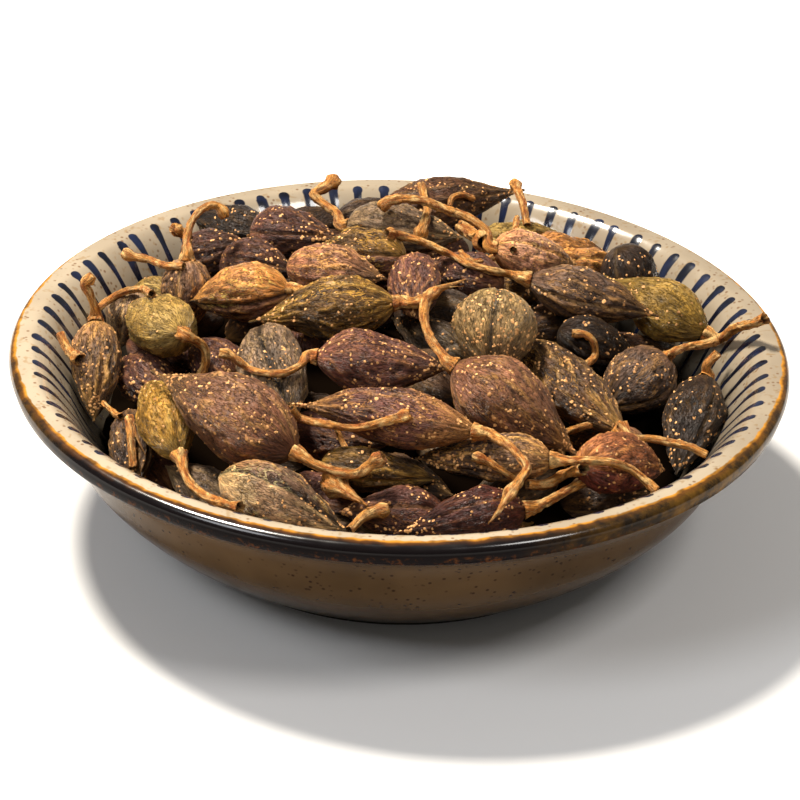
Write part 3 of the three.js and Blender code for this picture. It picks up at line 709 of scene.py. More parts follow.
# %% The stalks: fruit, heights of both ends, thickness, far end, pixels
STALKS = [
    (0, None, 7.5, 1.4, "knob", [(94, 305), (88, 291), (84, 285), (93, 275)]),
    (None, -2, 2.5, 1.5, "cut",
     [(90, 321), (96, 312), (104, 304), (112, 298), (123, 292), (137, 289), (152, 294)]),
    (4, None, -3, 1.7, "cut", [(195, 338), (204, 348), (206, 362), (200, 377)]),
    (3, None, 9.5, 1.6, "knob",
     [(187, 240), (192, 222), (200, 211), (214, 205), (221, 209), (225, 217)]),
    (None, 2, 4, 1.6, "knob", [(190, 237), (180, 232), (172, 228)]),
    (None, 3.5, 4, 1.5, "knob",
     [(184, 266), (166, 266), (148, 259), (132, 256), (123, 252)]),
    (5, None, 6, 2.2, "cut", [(297, 291), (305, 293)]),
    (15, None, 7, 2.2, "cut", [(404, 303), (414, 303), (423, 300)]),
    (17, None, 10.5, 1.9, "point",
     [(441, 353), (431, 340), (425, 325), (424, 312), (427, 298), (437, 290), (454, 284),
      (466, 279)]),
    (18, None, 5, 1.4, "knob",
     [(300, 365), (284, 373), (264, 373), (249, 369), (240, 363), (229, 355), (219, 353)]),
    (20, None, 1.5, 1.8, "knob",
     [(303, 458), (319, 466), (340, 473), (358, 473), (372, 464), (384, 457)]),
    (21, None, -1.5, 1.7, "cut",
     [(184, 472), (191, 484), (204, 495), (222, 503), (240, 507)]),
    (23, None, -0.5, 1.8, "point",
     [(495, 437), (509, 446), (521, 458), (527, 468), (521, 478), (511, 491), (500, 509),
      (488, 524)]),
    (None, 3, 7, 1.5, "knob",
     [(291, 407), (300, 418), (327, 424), (356, 428), (384, 422), (400, 418), (411, 414)]),
    (25, None, -3.5, 1.6, "cut",
     [(578, 461), (607, 462), (629, 468), (645, 480), (656, 491)]),
    (28, None, -3.5, 1.5, "cut", [(652, 439), (672, 443), (690, 447), (707, 455)]),
    (26, None, -4, 1.8, "cut", [(538, 507), (553, 498), (572, 488), (588, 480)]),
    (None, -3.5, -3.5, 2, "cut", [(527, 484), (546, 484), (565, 474), (584, 469)]),
    (None, -2, -1, 1.3, "knob",
     [(518, 482), (508, 474), (494, 465), (481, 458), (473, 457)]),
    (31, None, 4.5, 2, "cut", [(735, 328), (752, 324), (765, 319)]),
    (29, None, -0.5, 1.7, "cut", [(676, 351), (690, 346), (706, 344), (718, 340)]),
    (30, None, 0, 1.6, "cut", [(706, 366), (718, 353)]),
    (32, None, 8.5, 1.6, "knob",
     [(509, 274), (495, 271), (482, 268), (468, 264), (454, 256), (438, 249), (420, 241),
      (402, 236), (386, 233)]),
    (33, None, 9, 1.9, "knob",
     [(486, 231), (470, 219), (456, 213), (438, 206), (420, 200), (402, 199), (388, 202),
      (381, 209)]),
    (None, 5, 6, 1.3, "cut", [(449, 207), (452, 198), (462, 195), (474, 199)]),
    (None, 2.5, 5, 1.7, "knob", [(527, 226), (524, 207), (519, 194), (514, 182)]),
    (None, 4, 4, 1.4, "cut", [(517, 218), (513, 250)]),
    (None, 9, 6.5, 1.8, "knob", [(421, 184), (425, 200), (427, 214), (419, 239)]),
    (11, None, 7, 2, "knob", [(337, 213), (325, 205), (314, 194), (325, 187), (337, 179)]),
    (None, 5, 5, 2.8, "knob", [(460, 226), (472, 234), (486, 243)]),
    (None, 4, 4, 1.4, "cut", [(460, 252), (474, 262), (492, 258)]),
    (None, -1, -2, 1.6, "cut",
     [(572, 334), (585, 335), (593, 342), (595, 354), (584, 366)]),
    (None, -4, -5, 1.5, "cut", [(567, 432), (588, 425), (606, 424)]),
    (None, -3, -4, 3.6, "point", [(328, 479), (345, 491), (368, 506)]),
    (None, -6, -4, 1.7, "knob", [(349, 531), (363, 517), (376, 511), (389, 508)]),
    (None, -4, -9, 1.5, "cut", [(128, 418), (131, 440), (133, 468)]),
    (None, -4, -9, 1.3, "point", [(129, 417), (136, 436), (146, 456)]),
    (None, -8, -5, 1.2, "cut", [(103, 403), (112, 411), (121, 417)]),
    (None, 0, -2, 1.8, "knob", [(60, 334), (68, 350), (80, 360)]),
    (None, -3, -5, 1.2, "cut", [(337, 430), (343, 443), (349, 456)]),
    (None, 10, 11, 0.8, "point", [(437, 291), (452, 287), (464, 286)]),
]
DRAPE_LIMIT = 3.5               # a stalk on a fruit is lifted by this much at most
LOOSE_LIMIT = 8                 # and a loose one is moved by this much
BITE = 0.6                      # how deep it then lies in the skin


def stalk_points(fruit, start, end, thick, path):
    """Points in mm of one stalk, over the fruit that it crosses."""
    directions = [sight(p) for p in path]
    if fruit is None:
        root_reach = reach_at(path[0], start)
    else:
        directions.insert(0, rays[fruit, 0])
        root_reach = reaches[fruit, 0]
    directions = np.array(directions)
    end_reach = reach_at(path[-1], end)
    steps = np.linalg.norm(np.diff(directions, axis=0), axis=1)
    part = np.concatenate([[0], np.cumsum(steps)]) / steps.sum()
    reach = root_reach + (end_reach - root_reach) * part
    rest = reach_of_skin(directions) - thick / 2 + BITE
    drop = reach - rest
    if fruit is None:
        lift = np.abs(drop) < LOOSE_LIMIT
    else:
        lift = (drop > 0) & (drop < DRAPE_LIMIT)
        lift[0] = False
    return eye + directions * np.where(lift, rest, reach)[:, None]


def smooth_path(points, count):
    """A centripetal Catmull-Rom curve through points, evenly spaced."""
    p = np.concatenate([[2 * points[0] - points[1]], points,
                        [2 * points[-1] - points[-2]]])
    dense = []
    for k in range(1, len(p) - 2):
        d = [max(np.linalg.norm(p[k + j] - p[k + j - 1]) ** 0.5, 1e-3) for j in (0, 1, 2)]
        m1 = ((p[k] - p[k - 1]) / d[0] - (p[k + 1] - p[k - 1]) / (d[0] + d[1])
              + (p[k + 1] - p[k]) / d[1]) * d[1]
        m2 = ((p[k + 1] - p[k]) / d[1] - (p[k + 2] - p[k]) / (d[1] + d[2])
              + (p[k + 2] - p[k + 1]) / d[2]) * d[1]
        w = np.linspace(0, 1, 24, endpoint=False)[:, None]
        dense.append(p[k] + m1 * w + (-3 * p[k] + 3 * p[k + 1] - 2 * m1 - m2) * w ** 2
                     + (2 * p[k] - 2 * p[k + 1] + m1 + m2) * w ** 3)
    dense = np.concatenate([*dense, points[-1:]])
    run = np.concatenate([[0], np.cumsum(np.linalg.norm(np.diff(dense, axis=0), axis=1))])
    at = np.linspace(0, run[-1], count)
    return np.stack([np.interp(at, run, dense[:, i]) for i in range(3)], 1), run[-1]


paths = [stalk_points(*row[:4], row[5]) for row in STALKS]
print(len(paths), "stalks, the longest through", max(map(len, paths)), "points")

# %% [markdown]
# At its root the stalk widens into the dry calyx, a small ribbed trumpet that
# clasps the stem end of the fruit. The far end is a knob, a clean cut or a
# splinter. Where it isn't a splinter, the end is hollow.

# %% Where the trumpet takes hold of a fruit
TRUMPET = 1.25                  # radius of its mouth
TRUMPET_LENGTH = 1.7
SLENDER = 0.70                  # stalks dry thinner than they were traced


def clasped(points, fruit):
    """The stalk's points, with its root drawn over the stem end of the fruit."""
    stem, beak = seen_ends[fruit]
    length = np.linalg.norm(beak - stem)
    axis = (beak - stem) / length
    t = np.linspace(0, 0.3, 60)
    inside = np.interp(TRUMPET * 0.86, fullness(outlines[fruit], t) * girths[fruit] / 2, t)
    rest = [p for p in points[1:-1] if np.linalg.norm(p - stem) > 2.0]
    return np.array([stem + axis * min(inside * length, 1.6), stem - axis * 0.9,
                     *rest, points[-1]])


seen_ends = fruit_ends()
paths = [p if row[0] is None else clasped(p, row[0]) for p, row in zip(paths, STALKS)]
print("clasped", sum(row[0] is not None for row in STALKS), "stem ends")

# %% The width along and around a stalk
RIDGE_RISE, PIT_RISE, CRACK_DEPTH = 0.16, 0.07, 0.16   # as shares of the width
CALYX_LOBES = 4


def swelling(kind, left):
    """Width factor of the far end, by the length that is left."""
    if kind == "knob":
        return 1 + 0.75 * bell(left - 0.9, 0.9) + 0.25 * bell(left - 3.0, 0.8)
    if kind == "point":
        return np.clip(left / 8.0, 0.06, 1) ** 0.7 * (1 + 0.6 * bell(left - 6.5, 1.4))
    return 1 + 0.16 * bell(left, 1.0)


def stalk_radius(S, A, place, length, thick, kind, rooted, rng):
    """Radius, ridges and cracks over the grid. S runs along it and A around it."""
    slim = thick * SLENDER / 2
    radius = slim * swelling(kind, length - S) * (1 + 0.10 * smooth_field(place, 5, rng))
    start = rng.uniform(0, 6)
    if rooted:
        trumpet = np.exp(-(S / TRUMPET_LENGTH) ** 1.5)
        lobes = (1 + 0.16 * np.cos(CALYX_LOBES * A + start) * trumpet
                 + 0.06 * smooth_field(place, 1.2, rng))
        radius = radius + (TRUMPET - slim) * trumpet * lobes
    twist = A + 0.08 * S + start
    ridge = np.abs(np.sin(2.5 * twist + 0.5 * np.sin(0.8 * S)))
    pits = smooth_field(place, 1.3, rng)
    radius = radius * (1 + RIDGE_RISE * (ridge - 0.5) + PIT_RISE * pits)
    crack = np.clip(1 - np.abs(smooth_field(
        np.stack([np.cos(A), np.sin(A), S * 0.22], -1) * thick, 1.1, rng)) / 0.2, 0, 1)
    crack = crack * np.clip(smooth_field(place, 4, rng) + 0.5, 0, 1)
    return radius - CRACK_DEPTH * thick * crack, ridge, crack


print("a knob swells by", swelling("knob", np.array([0.0, 1.0, 2.0, 3.0])).round(2))

# %% A stalk as a grid
STALK_SIDES = 18
STALK_STEP = 0.24
HOLLOW = 0.55                   # depth of an end's hollow, as a share of the thickness
SPLINTER_TIP = 0.05
BARK = [srgb(c) for c in ("#9c5218", "#d28c3c", "#3c1c08", "#f0c680")]


def untwisted_frames(along):
    """Two directions across the stalk at each ring, carried along it without a twist."""
    first = np.cross(along[0], to_eye)
    frames = []
    for direction in along:
        first = first - direction * (first @ direction)
        first /= np.linalg.norm(first)
        frames.append((first, np.cross(direction, first)))
    return np.array(frames)


def stalk(points, thick, kind, rng, rooted):
    """A grid in mm from root to far end, with the values of its bark."""
    _, length = smooth_path(points, 40)
    rings = max(10, int(length / STALK_STEP))
    line, _ = smooth_path(points, rings)
    along = np.gradient(line, axis=0)
    along /= np.linalg.norm(along, axis=1)[:, None]
    frames = untwisted_frames(along)
    S, A = np.meshgrid(np.linspace(0, length, rings),
                       2 * math.pi * np.arange(STALK_SIDES) / STALK_SIDES, indexing="ij")
    ways = (frames[:, 0, None] * np.cos(A)[..., None]
            + frames[:, 1, None] * np.sin(A)[..., None])
    place = line[:, None] + ways * thick
    radius, ridge, crack = stalk_radius(S, A, place, length, thick, kind, rooted, rng)
    grid = line[:, None] + ways * radius[..., None]

    # both ends turn inward, so the trumpet and a hollow end have real rims
    root = line[0] + along[0] * 0.5
    dip = SPLINTER_TIP if kind == "point" else HOLLOW * thick
    tip = line[-1] - along[-1] * dip
    inner_root = root + (grid[0] - line[0]) * 0.8
    inner_tip = tip + (grid[-1] - line[-1]) * 0.55
    grid = np.concatenate([np.tile(root, (1, STALK_SIDES, 1)), inner_root[None], grid,
                           inner_tip[None], np.tile(tip, (1, STALK_SIDES, 1))])

    deep, pale, dark, dusty = BARK
    tone = 0.5 + 0.5 * smooth_field(place, 2.6, rng)
    skin = mix(deep + 0 * place, pale, np.clip(tone * 0.8 + 0.5 * ridge - 0.2, 0, 1))
    skin = mix(skin, dusty, 0.8 * np.clip(smooth_field(place, 2.0, rng) + ridge - 0.9, 0, 1))
    # dark cracks, with painted shade in the grooves between the ridges
    skin = mix(skin, dark, np.clip(0.9 * crack + 0.6 - 2.4 * ridge, 0, 1) * 0.8)
    # painted shade: the trumpet's inside and the far end, hollow or splintered, are dark
    skin = np.concatenate([np.tile(dark * 0.5, (2, STALK_SIDES, 1)), skin,
                           np.tile(dark * 0.6, (2, STALK_SIDES, 1))])
    grain = np.stack([np.cos(A) * thick, np.sin(A) * thick, S * 0.3], -1)
    grain = np.concatenate([grain[:1]] * 2 + [grain] + [grain[-1:]] * 2)
    return grid, {"skin": skin, "crest": np.tile(dusty, (*skin.shape[:2], 1)),
                  "grain": grain + rng.uniform(0, 90, 3),
                  "lively": np.full(skin.shape[:2], 0.8)}


chance_of = np.random.default_rng
stalks = [stalk(p, row[3], row[4], chance_of(300 + n), row[0] is not None)
          for n, (p, row) in enumerate(zip(paths, STALKS))]
print("stalk rings in all:", sum(len(g) for g, _ in stalks))

# %% [markdown]
# ## Finishes of skin and wood
#
# Colour that changes over a fruit is stored on its mesh. The material adds
# what is finer than the mesh: raised golden lines and folds that run along
# the fruit, darkened with painted shade, a fibrous grain, and the slight sheen
# of a dry waxy skin.

# %% Helpers for node materials
def new_material(name):
    material = bpy.data.materials.new(name)
    material.use_nodes = True
    nodes = material.node_tree.nodes
    nodes.clear()
    shader = nodes.new("ShaderNodeBsdfPrincipled")
    output = nodes.new("ShaderNodeOutputMaterial")
    material.node_tree.links.new(shader.outputs[0], output.inputs[0])
    return material, shader


def fill(material, made, inputs):
    """Sets inputs to numbers or web colours, or wires them to other nodes' outputs."""
    for key, value in dict(inputs).items():
        socket = made.inputs[key]
        if isinstance(value, bpy.types.NodeSocket):
            material.node_tree.links.new(value, socket)
        elif isinstance(value, str):
            socket.default_value = (*srgb(value), 1)
        else:
            socket.default_value = value
    return made


def node(material, kind, inputs=(), **settings):
    made = material.node_tree.nodes.new(kind)
    for key, value in settings.items():
        setattr(made, key, value)
    return fill(material, made, inputs)


def attribute(material, name, kind="Color"):
    return node(material, "ShaderNodeAttribute", attribute_name=name).outputs[kind]


def math_node(material, operation, a, b=0.0):
    return node(material, "ShaderNodeMath", {0: a, 1: b}, operation=operation).outputs[0]


def tinted(material, colour, factor):
    """The colour times a factor that varies."""
    return node(material, "ShaderNodeMix", {"Factor": 1.0, 6: colour, 7: factor},
                data_type="RGBA", blend_type="MULTIPLY").outputs[2]


def mixed(material, low, high, share):
    return node(material, "ShaderNodeMix", {"Factor": share, 6: low, 7: high},
                data_type="RGBA").outputs[2]


def ranged(material, value, low, high, at_low, at_high):
    """From at_low to at_high as value goes from low to high, and level beyond."""
    return node(material, "ShaderNodeMapRange",
                {"Value": value, "From Min": low, "From Max": high,
                 "To Min": at_low, "To Max": at_high}).outputs[0]


print("node helpers ready")

# %% Dry fruit skin, and bark
LINE_WIDTH, FOLD_WIDTH = 0.031, 0.04


def dry_material(name, rough, bump, scale, specular):
    """Thin lines lie where a slow noise crosses its middle value."""
    material, shader = new_material(name)
    grain = attribute(material, "grain", "Vector")

    def noise(times, detail, twist=0.0):
        return node(material, "ShaderNodeTexNoise", {"Vector": grain,
                    "Scale": scale * times, "Detail": detail, "Roughness": 0.6,
                    "Distortion": twist}).outputs["Fac"]

    def step(value, low, high, at_low, at_high):
        return ranged(material, value, low, high, at_low, at_high)

    def calc(operation, a, b=0.0):
        return math_node(material, operation, a, b)

    def lines(field, width):
        return step(calc("ABSOLUTE", calc("SUBTRACT", field, 0.5)), 0.0, width, 1.0, 0.0)

    golden = calc("MULTIPLY", lines(noise(0.9, 2.5, 0.9), LINE_WIDTH),
                  attribute(material, "lively", "Fac"))
    golden = calc("MULTIPLY", golden, step(noise(0.4, 1.0), 0.40, 0.55, 0.2, 1.0))
    folds = lines(noise(1.5, 3.0, 0.6), FOLD_WIDTH)
    coarse, fine = noise(1.0, 5.0), noise(4.2, 3.0)
    colour = attribute(material, "skin")
    # painted shade: along the fine folds the colour drops to a third
    for factor in (step(coarse, 0.3, 0.72, 0.75, 1.3), step(fine, 0.3, 0.7, 0.66, 1.38),
                   step(folds, 0.0, 1.0, 1.0, 0.34)):
        colour = tinted(material, colour, factor)
    height = calc("ADD", coarse, calc("MULTIPLY", fine, 0.4))
    height = calc("ADD", height, calc("MULTIPLY", golden, 0.3))
    height = calc("SUBTRACT", height, calc("MULTIPLY", folds, 0.45))
    raised = node(material, "ShaderNodeBump", {"Strength": 0.9, "Distance": bump * MM,
                  "Height": height})
    fill(material, shader, {
        "Base Color": mixed(material, colour, attribute(material, "crest"), golden),
        "Roughness": step(fine, 0.3, 0.7, rough + 0.1, rough - 0.12),
        "Normal": raised.outputs[0], "Specular IOR Level": specular})
    return material


skin_material = dry_material("dry fruit skin", 0.42, 0.46, 1.2, 0.26)
bark_material = dry_material("dry bark", 0.6, 0.30, 1.8, 0.3)
print("made", skin_material.name, "and", bark_material.name)

# %% Pale pores
pore_material, pore_shader = new_material("pale pores")
pore_noise = node(pore_material, "ShaderNodeTexNoise",
                  {"Vector": node(pore_material, "ShaderNodeTexCoord").outputs["Object"],
                   "Scale": 900.0, "Detail": 2.0})
pore_ramp = node(pore_material, "ShaderNodeValToRGB", {"Fac": pore_noise.outputs["Fac"]})
for stop, place, tone in zip(pore_ramp.color_ramp.elements, (0.3, 0.62),
                             ("#94602e", "#e0a868")):
    stop.position = place
    stop.color = (*srgb(tone), 1)
fill(pore_material, pore_shader, {"Base Color": pore_ramp.outputs[0], "Roughness": 0.7})
print("made", pore_material.name)

# %% [markdown]
# ## Making the fruit
#
# Each fruit has its own marks where the picture shows them: which way its seam
# faces, whether the seam gapes, and where one half differs in colour. Fruit of
# like colour share one piece. Hidden ones have coarser grids.

# %% Marks of single fruit, by number: angle of the seam, depth of a cleft, finish of a half
SEAMS = {0: -0.38, 3: 0.35, 4: -0.8, 5: -0.38, 12: 0.1, 13: 0.75, 15: 0.8, 16: 0.02,
         17: 0.95, 18: -0.9, 19: -0.05, 20: 1.0, 21: 0.6, 22: -0.75, 23: 1.0, 24: 0.4,
         26: 0.45, 27: 0.1, 28: 0.5, 32: 0.35, 36: 0.6}
CLEFTS = {5: 1.4, 16: 1.5, 19: 2.4, 22: 1.8}
HALVES = {5: "brown", 12: "brown", 22: "spotted dark", 27: "red brown"}
GROUPS = {
    "dark_fruit": ("dark", "grey", "grey brown", "spotted dark", "grey tan"),
    "purple_fruit": ("purple", "gilded purple", "veined"),
    "brown_fruit": ("brown", "orange", "red brown", "spotted orange", "plum"),
    "olive_fruit": ("olive", "golden olive", "dark olive", "spotted olive", "tan"),
}
capsules = [capsule(seen_ends[n, 0], seen_ends[n, 1], row[6], row[7], row[8],
                    chance_of(100 + n), SEEN_RINGS, SEEN_SIDES, row[9], SEAMS.get(n),
                    CLEFTS.get(n, 1.0), HALVES.get(n))
            for n, row in enumerate(FRUIT)]
heap_pieces = []
for group, finishes in GROUPS.items():
    members = [capsules[n] for n, row in enumerate(FRUIT) if row[8] in finishes]
    heap_pieces.append(grid_piece(group, members, skin_material))

# %% The hidden ones, and the stalks
KINDS = ["dark", "purple", "grey brown", "veined", "brown", "dark olive", "purple", "dark",
         "brown", "spotted dark", "purple"]
# painted shade: these lie under a wide gap and are made dark, so the gap stays black
PAINTED_IN_SHADE = (10, 21, 22)         # these lie under a wide gap that stays black


def hidden_look(n):
    """Finish and brightness of a hidden fruit, by its number. The deeper ones, and those under
    the gap, are painted dark as shade.
    """
    if n >= len(hidden):
        return "dark", 0.5
    return KINDS[n * 7 % len(KINDS)], 0.3 if n in PAINTED_IN_SHADE else 0.95


below = []
for n, (stem, beak, girth) in enumerate(hidden + deeper):
    finish, painted_brightness = hidden_look(n)
    below.append(capsule(stem, beak, girth, PLUMP, finish, chance_of(500 + n),
                         HIDDEN_RINGS, HIDDEN_SIDES, painted_brightness))
heap_pieces.append(grid_piece("hidden_fruit", below, skin_material))
heap_pieces.append(grid_piece("stalks", stalks, bark_material))

# %% [markdown]
# ## Pores
#
# The skin of most fruit is dotted with pale raised pores, a third to four
# fifths of a millimetre across. Each is a low six-sided cone on the skin, so it
# catches the light from any side.

# %% Pores, in loose patches
PORES_PER_SQUARE_MM = 0.85
FRUIT_AREA = 0.72               # as a share of a cylinder's
BARE_RINGS = 4                  # none lie this close to either end
LEAST_PORE = 0.15               # radius in mm
PORE_HEIGHT = 0.45              # as a share of its radius
PORE_SUNK = 0.03
FACING_DOWN = -0.45             # none lie where the skin faces the dish
BARE_PATCH = -0.35
HIDDEN_DOTS = 0.45              # how dotted the hidden fruit are
CONE = np.array([[math.cos(k * math.pi / 3), math.sin(k * math.pi / 3)] for k in range(6)])


def pores(grid, girth, density, rng):
    """Middles, normals and radii of the pores of one fruit."""
    run = np.linalg.norm(grid[-2, 0] - grid[1, 0])
    count = int(density * PORES_PER_SQUARE_MM * math.pi * girth * run * FRUIT_AREA)
    k = BARE_RINGS + (len(grid) - 1 - 2 * BARE_RINGS) * rng.beta(1.7, 1.45, count)
    a = rng.uniform(0, grid.shape[1], count)
    ki, ai = k.astype(int), a.astype(int)
    kf, af = (k - ki)[:, None], (a - ai)[:, None]
    aj = (ai + 1) % grid.shape[1]
    p00, p01, p10, p11 = grid[ki, ai], grid[ki, aj], grid[ki + 1, ai], grid[ki + 1, aj]
    middle = (p00 * (1 - af) + p01 * af) * (1 - kf) + (p10 * (1 - af) + p11 * af) * kf
    normal = np.cross(p01 - p00, p10 - p00)
    normal /= np.linalg.norm(normal, axis=1)[:, None] + 1e-9
    outward = ((middle - grid[1:-1].mean((0, 1))) * normal).sum(1)
    normal *= np.where(outward < 0, -1, 1)[:, None]
    size = (LEAST_PORE + 0.19 * rng.beta(1.6, 2.6, count)
            + 0.08 * rng.uniform(0, 1, count) ** 6)
    patches = smooth_field(middle, 4, rng) + rng.normal(0, 0.4, count)
    keep = (normal[:, 2] > FACING_DOWN) & (patches > BARE_PATCH)
    return middle[keep], normal[keep], size[keep]


found = [pores(capsules[n][0], row[6], FINISH[row[8]][5], chance_of(1100 + n))
         for n, row in enumerate(FRUIT)]
found += [pores(grid, girth, HIDDEN_DOTS, chance_of(1300 + n))
          for n, ((grid, _), (_, _, girth)) in enumerate(zip(below, hidden))]
middles, normals, sizes = (np.concatenate(v) for v in zip(*found))
across = np.cross(normals, [0.31, 0.2, 0.93])
across /= np.linalg.norm(across, axis=1)[:, None]
upward = np.cross(normals, across)
shape = sizes[:, None, None] * chance_of(9).uniform(0.72, 1.22, (len(sizes), 6, 1))
rims = (middles[:, None] + (across[:, None] * CONE[None, :, :1]
                            + upward[:, None] * CONE[None, :, 1:]) * shape
        - normals[:, None] * PORE_SUNK)
tips = middles + normals * (sizes * PORE_HEIGHT)[:, None]
pore_points = np.concatenate([rims.reshape(-1, 3), tips])
base = 6 * np.arange(len(tips))[:, None]
spokes = np.arange(6)[None]
pore_faces = np.stack([base + spokes, base + (spokes + 1) % 6,
                       np.broadcast_to(6 * len(tips) + np.arange(len(tips))[:, None],
                                       (len(tips), 6))], 2).reshape(-1, 3)
pore_quads = np.concatenate([pore_faces, pore_faces[:, 2:]], 1)
heap_pieces.append(mesh_piece("pores", pore_points, pore_quads, None, {}, pore_material))

# %% [markdown]
# ## The dark middle of the heap
#
# Between the fruit one looks down into shadow. A low lumpy mound, painted
# near black as that shadow, closes the heap below the fruit, so that no light
# comes up between them.

# %% A lumpy mound under the fruit
CORE_DEPTH = 8.0                # under the centres of the uppermost fruit
CORE_RIM = 50.0
CORE_FLOOR = 6.0
CORE_LUMP = 1.2
WALL_GAP = 1.0


def core_grid():
    """The mound's top, and its floor, inside the wall of the dish."""
    rng = chance_of(5)
    r = np.concatenate([np.linspace(0.2, CORE_RIM, 30), [CORE_RIM], [0.2]])
    a = 2 * math.pi * np.arange(72) / 72
    R, A = np.meshgrid(r, a, indexing="ij")
    x, y = R * np.cos(A), R * np.sin(A)
    z = crown_height(x, y) - CORE_DEPTH
    z[-2:] = CORE_FLOOR
    points = np.stack([x, y, z], -1)
    points[:-2, :, 2] += CORE_LUMP * smooth_field(points[:-2], 12, rng)
    wall = wall_radius(points[..., 2]) - WALL_GAP
    lower = np.minimum(1, wall / np.maximum(np.hypot(x, y), 1e-6))
    points[..., :2] *= lower[..., None]
    return points, {}


# painted shadow: the mound is nearly black and has no sheen
shadow_material, shadow_shader = new_material("shadow between the fruit")
fill(shadow_material, shadow_shader,
     {"Base Color": "#0c0704", "Roughness": 1.0, "Specular IOR Level": 0.0})
heap_pieces.append(grid_piece("heap_core", [core_grid()], shadow_material))

# %% These pieces stand for the heap's solid
for piece in heap_pieces:
    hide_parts("fruit_heap")
print(len(heap_pieces), "pieces make up the heap")

# %% [markdown]
# ## The dish
#
# The dish was thrown on a wheel: one outline turned about the upright axis.
# The lip is flat with a rounded iron-brown edge. A hand-made dish is never
# quite round, so the ring is let waver by a tenth of a millimetre.

# %% The outline of the dish, finer than in the CAD model
BAND_INNER_BACK = 56.2
BAND_INNER_FRONT = 54.9
DISH_SIDES = 360
LIP_SHRINK = 0.0016             # how far the lip has drawn in, as a share of its radius
LIP_SINK = 0.12                 # and how far it sinks, in mm


def arc(centre, radius, start, end, count):
    """Points of a circle in the plane, between two angles in degrees."""
    a = np.radians(np.linspace(start, end, count))
    return [(centre[0] + radius * math.cos(v), centre[1] + radius * math.sin(v)) for v in a]


outer_run = smooth_run([(FOOT_RADIUS + 1.2, FOOT_HEIGHT), (41.6, LIP_HEIGHT - 21.1),
                        (47.5, LIP_HEIGHT - 14.7), (50.5, LIP_HEIGHT - 8.2),
                        (54.6, LIP_HEIGHT - BAND_DEPTH)], 36)
flare = smooth_run([(55.0, LIP_HEIGHT), (53.2, LIP_HEIGHT - 0.3),
                    (51.1, LIP_HEIGHT - 2.2), (48.3, LIP_HEIGHT - 6.3)], 27)
wall_below = smooth_run(WALL_POINTS[2:], 24)
inner_run = np.array([*flare, *wall_below[1:]])
outline = np.array([
    (0.05, FOOT_HEIGHT), (14, FOOT_HEIGHT), (FOOT_RADIUS - 4.2, FOOT_HEIGHT),
    (FOOT_RADIUS - 3.7, FOOT_HEIGHT - 0.3), (FOOT_RADIUS - 3.3, 0.15),
    (FOOT_RADIUS - 2.9, 0.0), (FOOT_RADIUS - 0.6, 0.0), (FOOT_RADIUS - 0.15, 0.15),
    (FOOT_RADIUS, 0.5), (FOOT_RADIUS + 0.15, 0.95), *outer_run,
    *arc((LIP_RADIUS - 1.35, LIP_HEIGHT - 2.15), 1.05, -85, -5, 7),
    *arc((LIP_RADIUS - 1.2, LIP_HEIGHT - 1.2), 1.2, 0, 90, 12), *inner_run,
    (30.0, FLOOR_HEIGHT + 0.35), (26.0, FLOOR_HEIGHT + 0.1), (12, FLOOR_HEIGHT),
    (0.05, FLOOR_HEIGHT)])
print("outline points:", len(outline))

# %% Turn it, and measure how far each point lies inside the iron band
turn = 2 * math.pi * np.arange(DISH_SIDES) / DISH_SIDES


def waver(angle, seed, size, count=7):
    """A slow chance value around the dish."""
    rng = chance_of(seed)
    total = np.zeros_like(angle)
    for n in range(1, count + 1):
        total += rng.normal() * np.cos(n * angle + rng.uniform(0, 6.3)) / math.sqrt(n)
    return size * total / math.sqrt(count / 2)


def band_inner(angle):
    """Radius of the inner edge of the iron band."""
    front = (1 - np.sin(angle)) / 2
    return (BAND_INNER_BACK - (BAND_INNER_BACK - BAND_INNER_FRONT) * front ** 2
            + waver(angle, 21, 0.12, 24))


def on_dish(r, z, angle):
    """A point of the outline, turned and let waver."""
    share = np.clip(r / LIP_RADIUS, 0, 1) ** 2 * np.clip(z / LIP_HEIGHT, 0, 1)
    wide = r * (1 - LIP_SHRINK * share * (1 + waver(angle, 22, 0.6)))
    return np.stack([wide * np.cos(angle), wide * np.sin(angle),
                     z - LIP_SINK * share * (1 + waver(angle, 23, 0.5)).clip(0)], -1)


R, A = np.meshgrid(outline[:, 0], turn, indexing="ij")
Z = np.broadcast_to(outline[:, 1:], R.shape)
band = np.minimum(R - band_inner(A), Z - (LIP_HEIGHT - BAND_DEPTH + 0.2) + waver(A, 24, 0.1, 24))
under_lip = 10 + len(outer_run) + 7
outside = np.zeros(len(outline))
outside[:under_lip] = 1.0
outside[under_lip:under_lip + 9] = np.linspace(1, 0, 9)
wall_side = np.broadcast_to(outside[:, None], R.shape)
dish_values = {"band": np.clip(band, -3, 3), "outer": wall_side + 0.0 * R,
               "ink": np.zeros_like(R)}
dish_grid = on_dish(R, Z, A)
print("turned", dish_grid.shape[0] * dish_grid.shape[1], "points")

# %% [markdown]
# ## Glaze
#
# One material does the whole dish. Its values are stored on the mesh: how far
# inside the iron band a point lies, whether it is on the outer wall, and how
# much blue ink is on it. Noise breaks the band's edge, mottles the iron from
# amber to nearly black, and scatters iron specks over the cream. Painted shade
# darkens the outer wall and foot, the deep inner wall, and the back and right
# of the cream.

